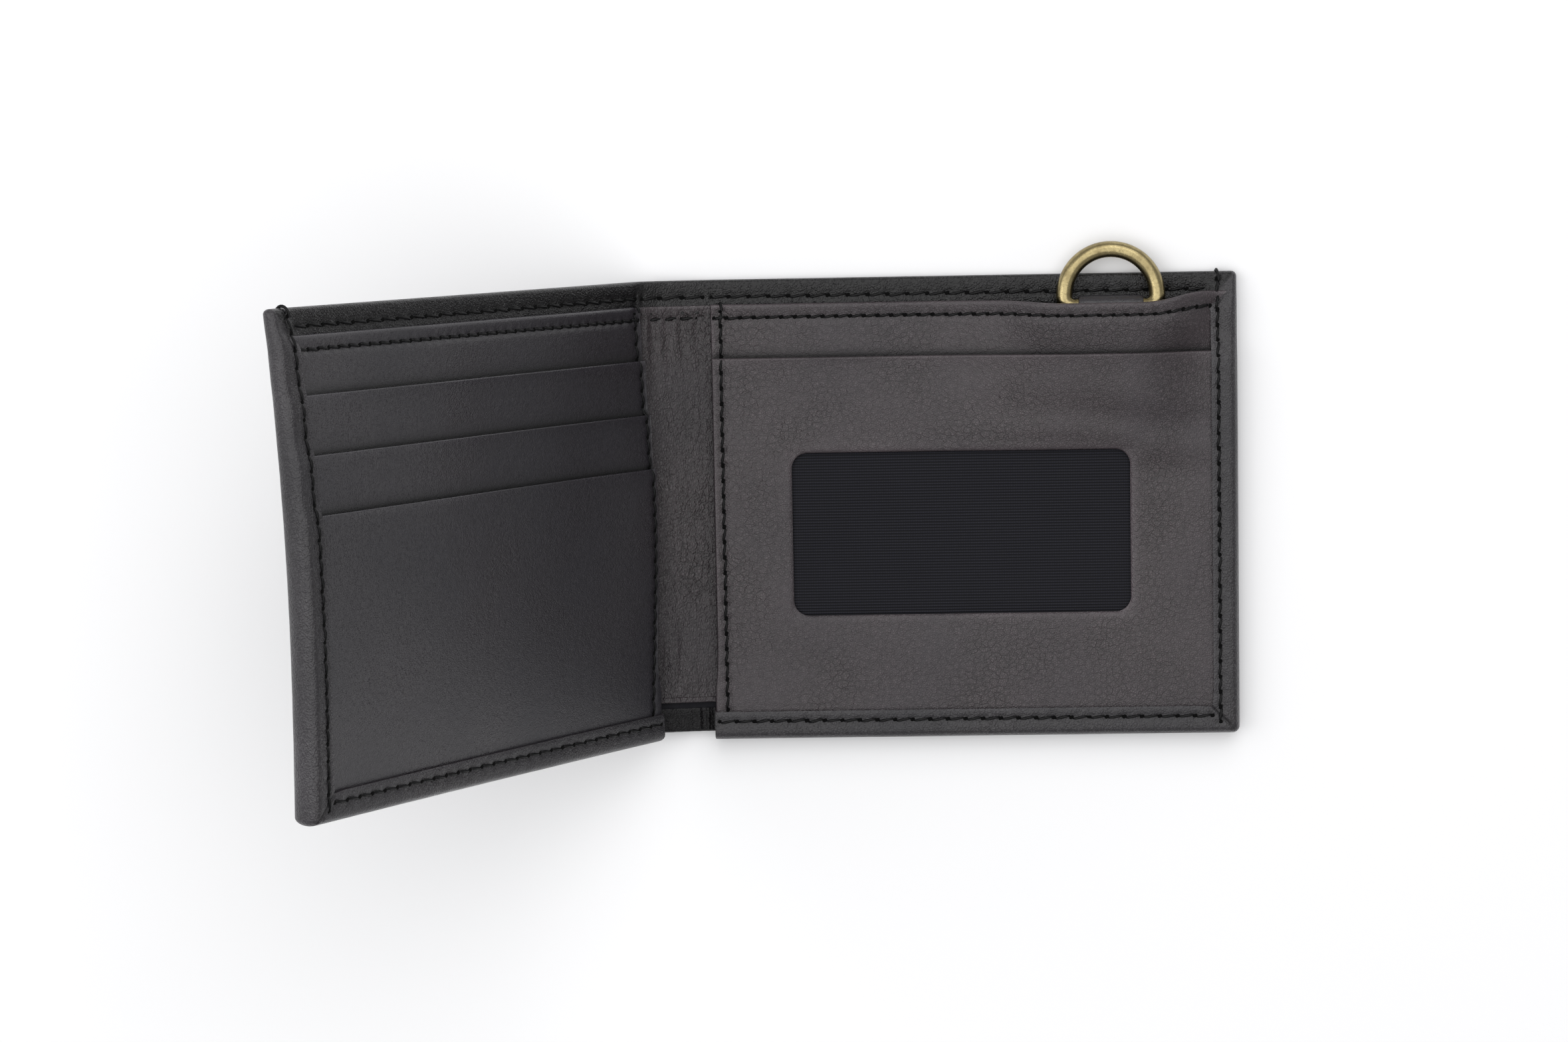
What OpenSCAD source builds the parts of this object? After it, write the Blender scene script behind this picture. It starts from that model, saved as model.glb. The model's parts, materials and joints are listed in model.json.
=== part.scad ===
// Bifold leather wallet with a wide spine and a brass D-ring for a chain.
// The right wing lies flat, the spine and the left wing stand partly folded over it.
// Origin: centre of the right wing's underside. +X to the right wing's outer edge,
// +Y to the mouth of the note pocket, +Z up. Millimetres.

/* [Wallet] */
// Width of each wing, from its fold line to its outer edge
wing_w = 102.5; // [85:1:130]
// Height of the wallet, from the bottom edge to the mouth
wing_h = 89; // [80:1:115]
// Width of the spine between the two fold lines
spine_w = 12; // [11.8:0.2:20]
// Angle of the spine above the table, as it lies open
spine_rest = 10; // [0:1:30]
// Angle between the spine and the left wing, as it lies open
wing_rest = 46.5; // [10:0.5:60]

/* [Leather and linings] */
// Thickness of the outer shell's leather
outer_t = 1; // [0.8:0.1:1.2]
// Thickness of the note pocket's fabric lining
lining_t = 0.6; // [0.4:0.1:0.8]
// Thickness of the inner panels' leather
inner_t = 0.9; // [0.6:0.1:1.1]
// Thickness of the ribbed fabric behind the window
fabric_t = 0.5; // [0.3:0.1:0.6]
// Thickness of the window panel's leather
window_t = 0.8; // [0.6:0.1:1]
// Thickness of a card pocket's leather
pocket_t = 0.5; // [0.4:0.1:0.6]
// Room in the note pocket above its lining and above the turned top edge
note_room = 0.1; // [0.1:0.1:0.4]
// Room inside the identity card pocket
id_room = 0.3; // [0.2:0.1:0.4]
// Room inside each card pocket
card_room = 0.2; // [0.1:0.1:0.3]
// Thickness of the skived leather that is turned over the sides and the bottom
hem_t = 0.9; // [0.7:0.1:1]
// Thickness of the skived lining and of the skived panel across the spine
spine_lining_t = 0.4; // [0.3:0.1:0.4]
// Thickness of the inner panel across the spine
spine_panel_t = 0.6; // [0.4:0.1:0.6]

/* [Edges] */
// Width of the hem on the outer side edges
side_hem_w = 5.1; // [4:0.1:8]
// Width of the hem along the bottom
bottom_hem_w = 5.6; // [4:0.1:8]
// Width of the turned edge along the mouth
top_hem_w = 6.5; // [5:0.1:9]
// Distance from the outer shell's top edge down to the inner panel's top edge
mouth_drop = 4.7; // [3:0.1:7]
// Clearance between a wing's layers and the spine's, when a fold is closed
fold_clearance = 0.3; // [0.3:0.1:1]
// Distance from a fold line to the outer shell on each side of it
fold_slit = 0.15; // [0.15:0.05:0.3]
// How much shorter the spine is than the wings at the bottom
spine_relief = 1.3; // [0:0.1:3]
// Gap between the spine's inner panel and the turned edges above and below it
panel_clearance = 0.1; // [0.05:0.05:0.5]
// Distance from the bottom edge up to the lower end of the spine's inner panel
spine_panel_drop = 7.1; // [6:0.1:12]

/* [Pockets] */
// Distance from each pocket's top edge down to the next one
pocket_step = 10.3; // [8:0.1:14]
// Width of the window
window_w = 64.8; // [50:0.1:75]
// Height of the window
window_h = 31.5; // [25:0.1:45]
// Radius of the window's corners
window_r = 3; // [1:0.1:6]
// Width of the sewn margin round a pocket's room
pocket_margin = 3.4; // [2:0.1:5]

/* [D-ring] */
// Outer width of the ring
ring_w = 20.8; // [16:0.1:30]
// Diameter of the ring's wire
ring_wire_d = 3.1; // [2:0.1:3.6]
// Distance from the wallet's outer side edge to the middle of the ring
ring_inset = 24.1; // [20:0.1:40]
// Height of the ring from the middle of its bar to its outer top
ring_reach = 12.5; // [11:0.1:20]
// Radius of the two corners at the ends of the bar, to the wire's middle
ring_corner_r = 2; // [1.8:0.1:3]
// Distance from the inner panel's top edge down to the middle of the bar
bar_drop = 1.6; // [1:0.1:3]
// Downward slope of the ring as it lies on the wallet's edge
ring_droop = 5; // [0:0.5:6]
// Radial clearance between the bar and its leather tab
bar_clearance = 0.07; // [0.05:0.01:0.1]
// Thickness of the tab's leather
tab_t = 0.6; // [0.5:0.1:0.8]
// Gap between each side of the tab and the ring's corners
tab_side_gap = 0.7; // [0.4:0.1:1.5]
// Length of the tab's lower tail below the bar
tab_len = 6.5; // [4:0.5:6.5]
// Length of the tab's short upper tail below the bar
tab_lip = 2; // [1:0.5:3]
// Gap between the tab and the turned edge under it
tab_gap = 0.15; // [0.1:0.05:0.3]
// Room above the tab for the ring to swing up
swing_room = 0.4; // [0.2:0.1:0.8]
// Level part of the panel's bulge on each side of the ring
bulge_margin = 1.5; // [1:0.1:3]
// Width over which the panel's bulge dies away on each side
bulge_fade = 9; // [6:0.5:14]
// Distance from the window panel's top edge up to the bulge's lower end
bulge_foot = 0.6; // [0.3:0.1:2]

/* [Stitching] */
// Gap between two stitches, where the thread goes down through the leather
stitch_gap = 0.63; // [0.5:0.01:1]
// Diameter of the waxed thread
thread_d = 0.7; // [0.4:0.05:0.9]
// Length of one stitch along the mouth's outer seam
top_pitch = 3.8; // [2.5:0.1:5]
// Length of one stitch along the inner panel's top edge
inner_pitch = 2.65; // [2:0.05:4]
// Length of one stitch along the side hems and the pockets' inner edges
side_pitch = 2.95; // [2:0.05:4]
// Length of one stitch along the bottom hems
bottom_pitch = 3.4; // [2:0.1:5]
// Distance from the mouth's top edge to its seam
top_seam_inset = 3.3; // [2:0.1:4.4]
// Distance from the inner panel's top edge to its seam
inner_seam_inset = 2.6; // [1.5:0.1:4]
// Distance from the bottom edge to its seam
bottom_seam_inset = 3.7; // [2:0.1:5]
// Distance from a side hem's inner border to its seam
side_seam_inset = 1.3; // [0.8:0.1:2.5]
// Distance from a pocket's raw edge to its seam
panel_seam_inset = 2.4; // [1:0.1:4]

/* [Hidden] */
$fn = 32;

// Colours
outer_black = "#2e2d2f";
panel_black = "#4a4648";
pocket_black = "#3b3a3d";
fabric_black = "#1e1e22";
thread_black = "#121113";
aged_brass = "#8d7a49";

// Places across the wing, measured from the wing's own middle
fold_x = -wing_w/2;
fold_gap = max(outer_t, spine_lining_t + spine_panel_t) + fold_clearance;
layer_x = fold_x + fold_gap;
edge_x = wing_w/2;
layer_w = edge_x - layer_x;
hem_x = edge_x - side_hem_w;

// Places up the wing
top_y = wing_h/2;
bottom_y = -wing_h/2;
mouth_y = top_y - mouth_drop;
hem_y = bottom_y + bottom_hem_w;
turned_y = top_y - top_hem_w;
slot_y = mouth_y - pocket_step;
spine_bottom_y = bottom_y + spine_relief;
spine_panel_y = bottom_y + spine_panel_drop;

window_x = (layer_x + hem_x)/2;
window_y = (slot_y + hem_y)/2;

// Heights of the layers above the outer face
lining_z = outer_t;
note_z = lining_z + lining_t;
panel_z = outer_t + max(outer_t, lining_t) + note_room;
panel_top_z = panel_z + inner_t;
window_z = panel_top_z + fabric_t + id_room;
right_top_z = window_z + window_t;
pocket_step_z = card_room + pocket_t;
left_top_z = panel_top_z + 3*pocket_step_z;
spine_panel_z = outer_t + spine_lining_t;
// The spine's stitches stay clear of the wings' panels, which stand over it when it folds
spine_seam_u = panel_top_z - outer_t + fold_clearance;

// D-ring
ring_x = edge_x - ring_inset;
wire_r = ring_wire_d/2;
ring_r = (ring_w - ring_wire_d)/2;
bore_r = wire_r + bar_clearance;
loop_r = bore_r + tab_t;
bar_y = mouth_y - bar_drop;
bar_z = 2*outer_t + tab_gap + loop_r;
arc_y = ring_reach - wire_r - ring_r;
bar_half = ring_r - ring_corner_r;
tab_w = 2*bar_half - 2*tab_side_gap;

// Raised part of the inner panel over the ring's tab, a cosine bump
bump_rise = bar_z + loop_r + swing_room - panel_z;
bump_half = ring_w/2 + bulge_margin + bulge_fade;
bump_low_y = slot_y + bulge_foot;
bump_columns = 20;
bump_rows = 8;
function ease(t) = (1 - cos(180*min(1, max(0, t))))/2;
function bump(x, y) = bump_rise*ease((bump_half - abs(x - ring_x))/bulge_fade)
    *ease((y - bump_low_y)/(bar_y - tab_lip - bump_low_y));

// Places a wing's or the spine's own layout at its place in the open wallet
module at_spine() {
    translate([fold_x, 0, outer_t]) rotate([0, spine_rest, 0]) translate([0, 0, -outer_t])
        children();
}
module at_left() {
    at_spine() translate([-spine_w, 0, outer_t]) rotate([0, wing_rest, 0])
        translate([-wing_w/2, 0, -outer_t]) mirror([1, 0, 0]) children();
}

// A plate between two corners
module plate(low, high) {
    translate(low) cube([high[0] - low[0], high[1] - low[1], high[2] - low[2]]);
}

// A row of stitches from start to end, half sunk in the surface they lie on
module stitch_row(start, end, pitch) {
    run = norm(end - start);
    count = max(1, round(run/pitch));
    step = run/count;
    turn = atan2(end[1] - start[1], end[0] - start[0]);
    for (i = [0 : count - 1])
        translate(start + (end - start)*(i + 0.5)/count)
            rotate([0, 0, turn]) rotate([0, 90, 0])
                cylinder(h = step - stitch_gap, d = thread_d, center = true);
}

// A row of stitches along the inner panel's top edge, which climbs over the bump
module climbing_row(start, end, pitch) {
    count = max(1, round((end[0] - start[0])/pitch));
    step = (end[0] - start[0])/count;
    for (i = [0 : count - 1]) {
        x = start[0] + (i + 0.5)*step;
        rise = bump(x + step/2, start[1]) - bump(x - step/2, start[1]);
        translate([x, start[1], start[2] + bump(x, start[1])])
            rotate([0, -atan2(rise, step), 0]) rotate([0, 90, 0])
                cylinder(h = step - stitch_gap, d = thread_d, center = true);
    }
}

// Outer shell of a wing: flat leather, turned over at the mouth, the side and the bottom
module wing_shell(top_z) {
    hem_top_z = top_z + hem_t;
    plate([fold_x + fold_slit, bottom_y, 0], [edge_x, top_y, outer_t]);
    plate([layer_x, turned_y, outer_t], [edge_x - outer_t, top_y, 2*outer_t]);
    plate([edge_x - outer_t, bottom_y, outer_t], [edge_x, mouth_y, hem_top_z]);
    plate([edge_x - outer_t, mouth_y, outer_t], [edge_x, top_y, 2*outer_t]);
    plate([hem_x, bottom_y, top_z], [edge_x - outer_t, mouth_y, hem_top_z]);
    plate([layer_x, bottom_y, outer_t], [edge_x - outer_t, bottom_y + outer_t, top_z]);
    plate([layer_x, bottom_y, top_z], [hem_x, hem_y, hem_top_z]);
}

// Lining of the note pocket, from the turned edge down to the bottom fold
module wing_lining() {
    plate([layer_x, bottom_y + outer_t, lining_z], [edge_x - outer_t, turned_y, note_z]);
}

// A pocket's leather: a sheet with a room under it, open at its top edge
module pocket_sheet(low_z, room, leather_t, up_y) {
    difference() {
        plate([layer_x, bottom_y + outer_t, low_z], [edge_x - outer_t, up_y, low_z + room + leather_t]);
        plate([layer_x + pocket_margin, bottom_y + outer_t + pocket_margin, low_z - 1],
            [edge_x - outer_t - pocket_margin, up_y + 1, low_z + room]);
    }
}

module outer_shell_right() {
    color(outer_black) wing_shell(right_top_z);
}
module note_lining_right() {
    color(fabric_black) wing_lining();
}

// Curved sheet over the ring's tab, one grid above and one below
module bump_sheet() {
    cols = bump_columns;
    rows = bump_rows;
    grid = [for (side = [0, 1]) for (j = [0 : rows]) for (i = [0 : cols])
        let (x = ring_x - bump_half + 2*bump_half*i/cols,
             y = bump_low_y + (mouth_y - bump_low_y)*j/rows)
        [x, y, panel_z + bump(x, y) + side*inner_t]];
    size = (rows + 1)*(cols + 1);
    function at(side, j, i) = side*size + j*(cols + 1) + i;
    faces = concat(
        [for (j = [0 : rows - 1]) for (i = [0 : cols - 1])
            for (f = [[at(1, j, i), at(1, j + 1, i), at(1, j + 1, i + 1)],
                      [at(1, j, i), at(1, j + 1, i + 1), at(1, j, i + 1)],
                      [at(0, j, i), at(0, j + 1, i + 1), at(0, j + 1, i)],
                      [at(0, j, i), at(0, j, i + 1), at(0, j + 1, i + 1)]]) f],
        [for (i = [0 : cols - 1])
            for (f = [[at(0, 0, i), at(1, 0, i), at(1, 0, i + 1), at(0, 0, i + 1)],
                      [at(0, rows, i + 1), at(1, rows, i + 1), at(1, rows, i), at(0, rows, i)]]) f],
        [for (j = [0 : rows - 1])
            for (f = [[at(0, j + 1, 0), at(1, j + 1, 0), at(1, j, 0), at(0, j, 0)],
                      [at(0, j, cols), at(1, j, cols), at(1, j + 1, cols), at(0, j + 1, cols)]]) f]);
    polyhedron(points = grid, faces = faces);
}
module inner_panel_right() {
    color(panel_black) {
        difference() {
            plate([layer_x, bottom_y + outer_t, panel_z], [edge_x - outer_t, mouth_y, panel_top_z]);
            plate([ring_x - bump_half, bump_low_y, panel_z - 1],
                [ring_x + bump_half, mouth_y + 1, panel_top_z + 1]);
        }
        bump_sheet();
    }
}
module id_fabric() {
    color(fabric_black)
        plate([layer_x, bottom_y + outer_t, panel_top_z],
            [edge_x - outer_t, slot_y, panel_top_z + fabric_t]);
}
module window_hole() {
    translate([window_x, window_y, panel_top_z]) linear_extrude(right_top_z)
        union() {
            square([window_w - 2*window_r, window_h], center = true);
            square([window_w, window_h - 2*window_r], center = true);
            for (sx = [-1, 1]) for (sy = [-1, 1])
                translate([sx*(window_w/2 - window_r), sy*(window_h/2 - window_r)])
                    circle(r = window_r);
        }
}
module window_panel() {
    color(panel_black) difference() {
        pocket_sheet(panel_top_z + fabric_t, id_room, window_t, slot_y);
        window_hole();
    }
}

// Leather tab: a sleeve round the ring's bar with two tails into the note pocket
module ring_tab() {
    color(panel_black) translate([ring_x - tab_w/2, 0, 0]) {
        difference() {
            union() {
                translate([0, bar_y, bar_z]) rotate([0, 90, 0]) cylinder(h = tab_w, r = loop_r, $fn = 48);
                plate([0, bar_y - tab_len, bar_z - loop_r], [tab_w, bar_y, bar_z - loop_r + tab_t]);
                plate([0, bar_y - tab_lip, bar_z + loop_r - tab_t], [tab_w, bar_y, bar_z + loop_r]);
            }
            translate([-1, bar_y, bar_z]) rotate([0, 90, 0]) cylinder(h = tab_w + 2, r = bore_r, $fn = 48);
        }
    }
}

// Brass D-ring: a bar, two small corners and a half circle
module d_ring() {
    color(aged_brass) translate([ring_x, bar_y, bar_z]) rotate([-ring_droop, 0, 0]) {
        rotate([0, 90, 0]) cylinder(h = 2*bar_half, r = wire_r, center = true);
        for (side = [0, 1]) mirror([side, 0, 0]) {
            translate([bar_half, ring_corner_r, 0]) rotate([0, 0, -90])
                rotate_extrude(angle = 90) translate([ring_corner_r, 0]) circle(r = wire_r);
            if (arc_y > ring_corner_r)
                translate([ring_r, ring_corner_r, 0]) rotate([-90, 0, 0])
                    cylinder(h = arc_y - ring_corner_r, r = wire_r);
        }
        translate([0, arc_y, 0]) rotate_extrude(angle = 180) translate([ring_r, 0]) circle(r = wire_r);
    }
}

// Seams of a wing. Each lies on the layer that shows there
module mouth_seam() {
    stitch_row([layer_x, top_y - top_seam_inset, 2*outer_t],
        [hem_x, top_y - top_seam_inset, 2*outer_t], top_pitch);
}
module side_seam(top_z) {
    seam_x = hem_x + side_seam_inset;
    stitch_row([seam_x, bottom_y + bottom_seam_inset, top_z + hem_t],
        [seam_x, mouth_y, top_z + hem_t], side_pitch);
}
module bottom_seam(top_z) {
    stitch_row([layer_x, bottom_y + bottom_seam_inset, top_z + hem_t],
        [hem_x + side_seam_inset - thread_d, bottom_y + bottom_seam_inset, top_z + hem_t],
        bottom_pitch);
}
module pocket_seam(top_z) {
    seam_x = layer_x + panel_seam_inset;
    stitch_row([seam_x, hem_y, top_z], [seam_x, slot_y, top_z], side_pitch);
    stitch_row([seam_x, slot_y, panel_top_z],
        [seam_x, mouth_y - inner_seam_inset - thread_d, panel_top_z], side_pitch);
}
module seam_mouth_right() {
    color(thread_black) mouth_seam();
}
module seam_panel_top_right() {
    color(thread_black) climbing_row([layer_x, mouth_y - inner_seam_inset, panel_top_z],
        [hem_x, mouth_y - inner_seam_inset, panel_top_z], inner_pitch);
}
module seam_side_right() {
    color(thread_black) side_seam(right_top_z);
}
module seam_bottom_right() {
    color(thread_black) bottom_seam(right_top_z);
}
module seam_pocket_right() {
    color(thread_black) pocket_seam(right_top_z);
}

// Spine: the same three layers, skived thin so that both folds close
module outer_shell_spine() {
    color(outer_black) at_spine() {
        plate([-spine_w + fold_slit, spine_bottom_y, 0], [-fold_slit, top_y, outer_t]);
        plate([-spine_w + fold_slit, mouth_y + panel_clearance, outer_t],
            [-fold_slit, top_y, 2*outer_t]);
        plate([-spine_w + fold_slit, spine_bottom_y, outer_t],
            [-fold_slit, spine_panel_y - panel_clearance, 2*outer_t]);
    }
}
module note_lining_spine() {
    color(fabric_black) at_spine()
        plate([-spine_w + fold_slit, spine_panel_y, outer_t],
            [-fold_slit, turned_y, spine_panel_z]);
}
module inner_panel_spine() {
    color(panel_black) at_spine()
        plate([-spine_w + fold_slit, spine_panel_y, spine_panel_z],
            [-fold_slit, mouth_y, spine_panel_z + spine_panel_t]);
}
module seam_mouth_spine() {
    color(thread_black) at_spine()
        stitch_row([-spine_w + spine_seam_u, top_y - top_seam_inset, 2*outer_t],
            [-spine_seam_u, top_y - top_seam_inset, 2*outer_t], top_pitch);
}
module seam_panel_top_spine() {
    color(thread_black) at_spine()
        stitch_row([-spine_w + spine_seam_u, mouth_y - inner_seam_inset, spine_panel_z + spine_panel_t],
            [-spine_seam_u, mouth_y - inner_seam_inset, spine_panel_z + spine_panel_t], inner_pitch);
}

// Left wing: the mirror image of the right one, with three stepped card pockets
module outer_shell_left() {
    color(outer_black) at_left() wing_shell(left_top_z);
}
module note_lining_left() {
    color(fabric_black) at_left() wing_lining();
}
module inner_panel_left() {
    color(pocket_black) at_left()
        plate([layer_x, bottom_y + outer_t, panel_z], [edge_x - outer_t, mouth_y, panel_top_z]);
}
module card_pocket(index) {
    color(pocket_black) at_left()
        pocket_sheet(panel_top_z + index*pocket_step_z, card_room, pocket_t,
            slot_y - index*pocket_step);
}
module card_pocket_back() { card_pocket(0); }
module card_pocket_middle() { card_pocket(1); }
module card_pocket_front() { card_pocket(2); }
module seam_mouth_left() {
    color(thread_black) at_left() mouth_seam();
}
module seam_panel_top_left() {
    color(thread_black) at_left()
        stitch_row([layer_x, mouth_y - inner_seam_inset, panel_top_z],
            [hem_x, mouth_y - inner_seam_inset, panel_top_z], inner_pitch);
}
module seam_side_left() {
    color(thread_black) at_left() side_seam(left_top_z);
}
module seam_bottom_left() {
    color(thread_black) at_left() bottom_seam(left_top_z);
}

// The inner edge's seam steps down with the pockets
module seam_pocket_left() {
    seam_x = layer_x + panel_seam_inset;
    color(thread_black) at_left() {
        stitch_row([seam_x, hem_y, left_top_z], [seam_x, slot_y - 2*pocket_step, left_top_z],
            side_pitch);
        for (index = [0, 1])
            stitch_row([seam_x, slot_y - (index + 1)*pocket_step,
                    panel_top_z + (index + 1)*pocket_step_z],
                [seam_x, slot_y - index*pocket_step, panel_top_z + (index + 1)*pocket_step_z],
                side_pitch);
        stitch_row([seam_x, slot_y, panel_top_z],
            [seam_x, mouth_y - inner_seam_inset - thread_d, panel_top_z], side_pitch);
    }
}

outer_shell_right();
note_lining_right();
inner_panel_right();
id_fabric();
window_panel();
ring_tab();
d_ring();
seam_mouth_right();
seam_panel_top_right();
seam_side_right();
seam_bottom_right();
seam_pocket_right();
outer_shell_spine();
note_lining_spine();
inner_panel_spine();
seam_mouth_spine();
seam_panel_top_spine();
outer_shell_left();
note_lining_left();
inner_panel_left();
card_pocket_back();
card_pocket_middle();
card_pocket_front();
seam_mouth_left();
seam_panel_top_left();
seam_side_left();
seam_bottom_left();
seam_pocket_left();
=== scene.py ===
"""Open bifold leather wallet with a brass D-ring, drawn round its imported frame.

Wallet coordinates are in millimetres: s runs across the wallet from the right fold line
(positive on the right wing, negative over the spine and the left wing), v runs up the
wallet, and h stands off the outer face, through the layers, to the inside. On a wing, u is
the distance from that wing's own fold line.
"""
import json
import math
from types import SimpleNamespace

import bmesh
import bpy
import numpy as np
from bpy.props import FloatProperty, FloatVectorProperty, PointerProperty
from mathutils import Matrix, Vector


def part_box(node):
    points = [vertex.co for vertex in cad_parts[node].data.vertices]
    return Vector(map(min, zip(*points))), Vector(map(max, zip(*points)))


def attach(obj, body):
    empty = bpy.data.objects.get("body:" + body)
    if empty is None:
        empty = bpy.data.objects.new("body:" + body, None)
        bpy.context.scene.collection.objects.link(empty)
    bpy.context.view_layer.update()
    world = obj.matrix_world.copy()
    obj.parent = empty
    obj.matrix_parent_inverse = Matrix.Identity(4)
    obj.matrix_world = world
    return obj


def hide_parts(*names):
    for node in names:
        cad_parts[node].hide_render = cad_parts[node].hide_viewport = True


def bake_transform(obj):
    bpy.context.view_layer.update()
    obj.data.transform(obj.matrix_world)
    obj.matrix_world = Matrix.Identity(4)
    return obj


bl_info = {
    "name": "Bifold Wallet",
    "version": (1, 0, 0),
    "blender": (4, 5, 0),
    "location": "View3D > Sidebar > Wallet",
    "description": "Builds an open bifold leather wallet with card pockets, a window and a D-ring",
    "category": "Add Mesh",
}

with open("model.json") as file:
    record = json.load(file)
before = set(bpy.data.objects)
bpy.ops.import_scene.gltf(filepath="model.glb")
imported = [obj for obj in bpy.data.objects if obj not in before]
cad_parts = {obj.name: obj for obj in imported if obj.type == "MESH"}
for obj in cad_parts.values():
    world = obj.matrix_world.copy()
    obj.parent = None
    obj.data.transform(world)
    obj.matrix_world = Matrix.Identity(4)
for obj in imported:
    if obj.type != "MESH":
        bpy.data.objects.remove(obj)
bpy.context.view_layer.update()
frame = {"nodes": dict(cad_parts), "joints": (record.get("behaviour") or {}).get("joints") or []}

MM = 0.001
RIGHT, LEFT = 1, -1


# ---------------------------------------------------------------- layout from the frame

def box_mm(node):
    """Lowest and highest corner of a frame node, in millimetres."""
    low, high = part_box(node)
    return np.array(low) / MM, np.array(high) / MM


def joint_named(name):
    """A joint of the frame by its name."""
    return next(j for j in frame["joints"] if j["name"] == name)


def read_layout():
    """Every place that the pieces share, in millimetres and radians."""
    near, far = joint_named("spine_fold"), joint_named("wing_fold")
    a, b = np.array(near["pos_m"]) / MM, np.array(far["pos_m"]) / MM
    shell_low, shell_high = box_mm("outer_shell_right")
    panel_low, panel_high = box_mm("inner_panel_right")
    fabric_low, fabric_high = box_mm("id_fabric")
    _, window_high = box_mm("window_panel")
    lining_low, lining_high = box_mm("note_lining_right")
    lean = math.radians(-near["range_deg"][0])
    return SimpleNamespace(
        fold=a, far_fold=b, spine_w=math.hypot(a[0] - b[0], b[2] - a[2]),
        lean=lean, tilt=lean + math.radians(-far["range_deg"][0]),
        wing_w=shell_high[0] - a[0], top=shell_high[1], bottom=shell_low[1],
        layer=panel_low[0] - a[0], mouth=panel_high[1], slot=window_high[1],
        slots=[box_mm(n)[1][1] for n in ("card_pocket_back", "card_pocket_middle", "card_pocket_front")],
        turned=lining_high[1], lining_h=(lining_low[2], lining_high[2]),
        panel_h=(panel_low[2], fabric_low[2]), panel_high=panel_high[2],
        fabric_h=(fabric_low[2], fabric_high[2]),
        window_h=(fabric_high[2] + 0.3, window_high[2]), hem_h=shell_high[2],
        spine_panel_v=box_mm("inner_panel_spine")[0][1],
        spine_bottom=box_mm("outer_shell_spine")[0][1],
        tab=box_mm("ring_tab"), ring_box=box_mm("d_ring"),
        ring=np.array(joint_named("ring_swivel")["pos_m"]) / MM)


L = read_layout()


# ---------------------------------------------------------------- settings

def length(name, description, default_mm):
    """A length property, stored in metres."""
    return FloatProperty(name=name, description=description, default=default_mm * MM,
                         unit="LENGTH", min=0.0, precision=5)


def linear(code):
    """sRGB hex to linear RGB."""
    channels = [int(code[i:i + 2], 16) / 255 for i in (1, 3, 5)]
    return tuple(c / 12.92 if c <= 0.04045 else ((c + 0.055) / 1.055) ** 2.4 for c in channels)


def hex_colour(name, description, code):
    """A colour property whose default is an sRGB hex value turned to linear."""
    return FloatVectorProperty(name=name, description=description, default=linear(code),
                               subtype="COLOR", size=3, min=0.0, max=1.0)


class WalletSizes(bpy.types.PropertyGroup):
    """Sizes that a maker would change."""
    side_hem: length("Side hem", "Width of the leather turned over the side edges", 5.1)
    bottom_hem: length("Bottom hem", "Width of the leather turned over the bottom edge", 5.6)
    top_hem: length("Mouth hem", "Width of the leather turned over the mouth", 6.5)
    corner: length("Lower corner", "Radius of the lower corners", 1.4)
    upper_corner: length("Upper corner", "Radius of the upper corners", 1.0)
    leather: length("Leather", "Thickness of the outer leather", 0.9)
    pocket: length("Pocket leather", "Thickness of the card pockets' leather", 0.5)
    card_room: length("Card room", "Room between one card pocket and the next", 0.2)
    window_w: length("Window width", "Width of the window", 64.8)
    window_h: length("Window height", "Height of the window", 31.5)
    window_r: length("Window corner", "Radius of the window's corners", 3.0)
    window_x: length("Window from fold", "Distance from the fold to the window's near side", 16.95)
    window_y: length("Window from slot", "Distance from the panel's top edge down to the window", 18.45)
    rib: length("Rib", "Pitch of the fabric's ribs", 0.55)
    thread: length("Thread", "Diameter of the waxed thread", 0.50)
    mouth_pitch: length("Mouth stitch", "Stitch length along the mouth", 3.8)
    panel_pitch: length("Panel stitch", "Stitch length along the inner panel's top edge", 2.65)
    side_pitch: length("Side stitch", "Stitch length along the upright seams", 2.95)
    bottom_pitch: length("Bottom stitch", "Stitch length along the bottom", 3.4)
    mouth_inset: length("Mouth seam", "Distance of the seam from the mouth's edge", 3.3)
    panel_inset: length("Panel seam", "Distance of the seam from the inner panel's top edge", 2.6)
    bottom_inset: length("Bottom seam", "Distance of the seam from the bottom edge", 3.7)
    side_inset: length("Side seam", "Distance of the seam from the side hem's cut edge", 1.3)
    fold_inset: length("Fold seam", "Distance of the seam from the layers' cut edge", 2.4)


class WalletColours(bpy.types.PropertyGroup):
    """Colours of the finishes."""
    outer: hex_colour("Outer leather", "Drum dyed black outer leather", "#2a282b")
    panel: hex_colour("Panel leather", "Charcoal leather of the right wing", "#3d373a")
    pocket: hex_colour("Pocket leather", "Smooth leather of the card pockets", "#272529")
    lining: hex_colour("Lining", "Woven lining of the note pocket", "#1b1b1f")
    fabric: hex_colour("Ribbed fabric", "Ribbed fabric behind the window", "#1a1a20")
    thread: hex_colour("Thread", "Waxed black thread", "#0a0a0b")
    brass: hex_colour("Brass", "Rubbed brass of the D-ring", "#a89a72")
    patina: hex_colour("Patina", "Dark patina in the brass", "#6a5d40")


def sizes():
    """The sizes in millimetres."""
    group = bpy.context.scene.wallet_sizes
    return SimpleNamespace(**{k: getattr(group, k) / MM for k in WalletSizes.__annotations__})


def colours():
    """The colours as linear RGBA."""
    group = bpy.context.scene.wallet_colours
    return SimpleNamespace(**{k: (*getattr(group, k), 1.0) for k in WalletColours.__annotations__})


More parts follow.
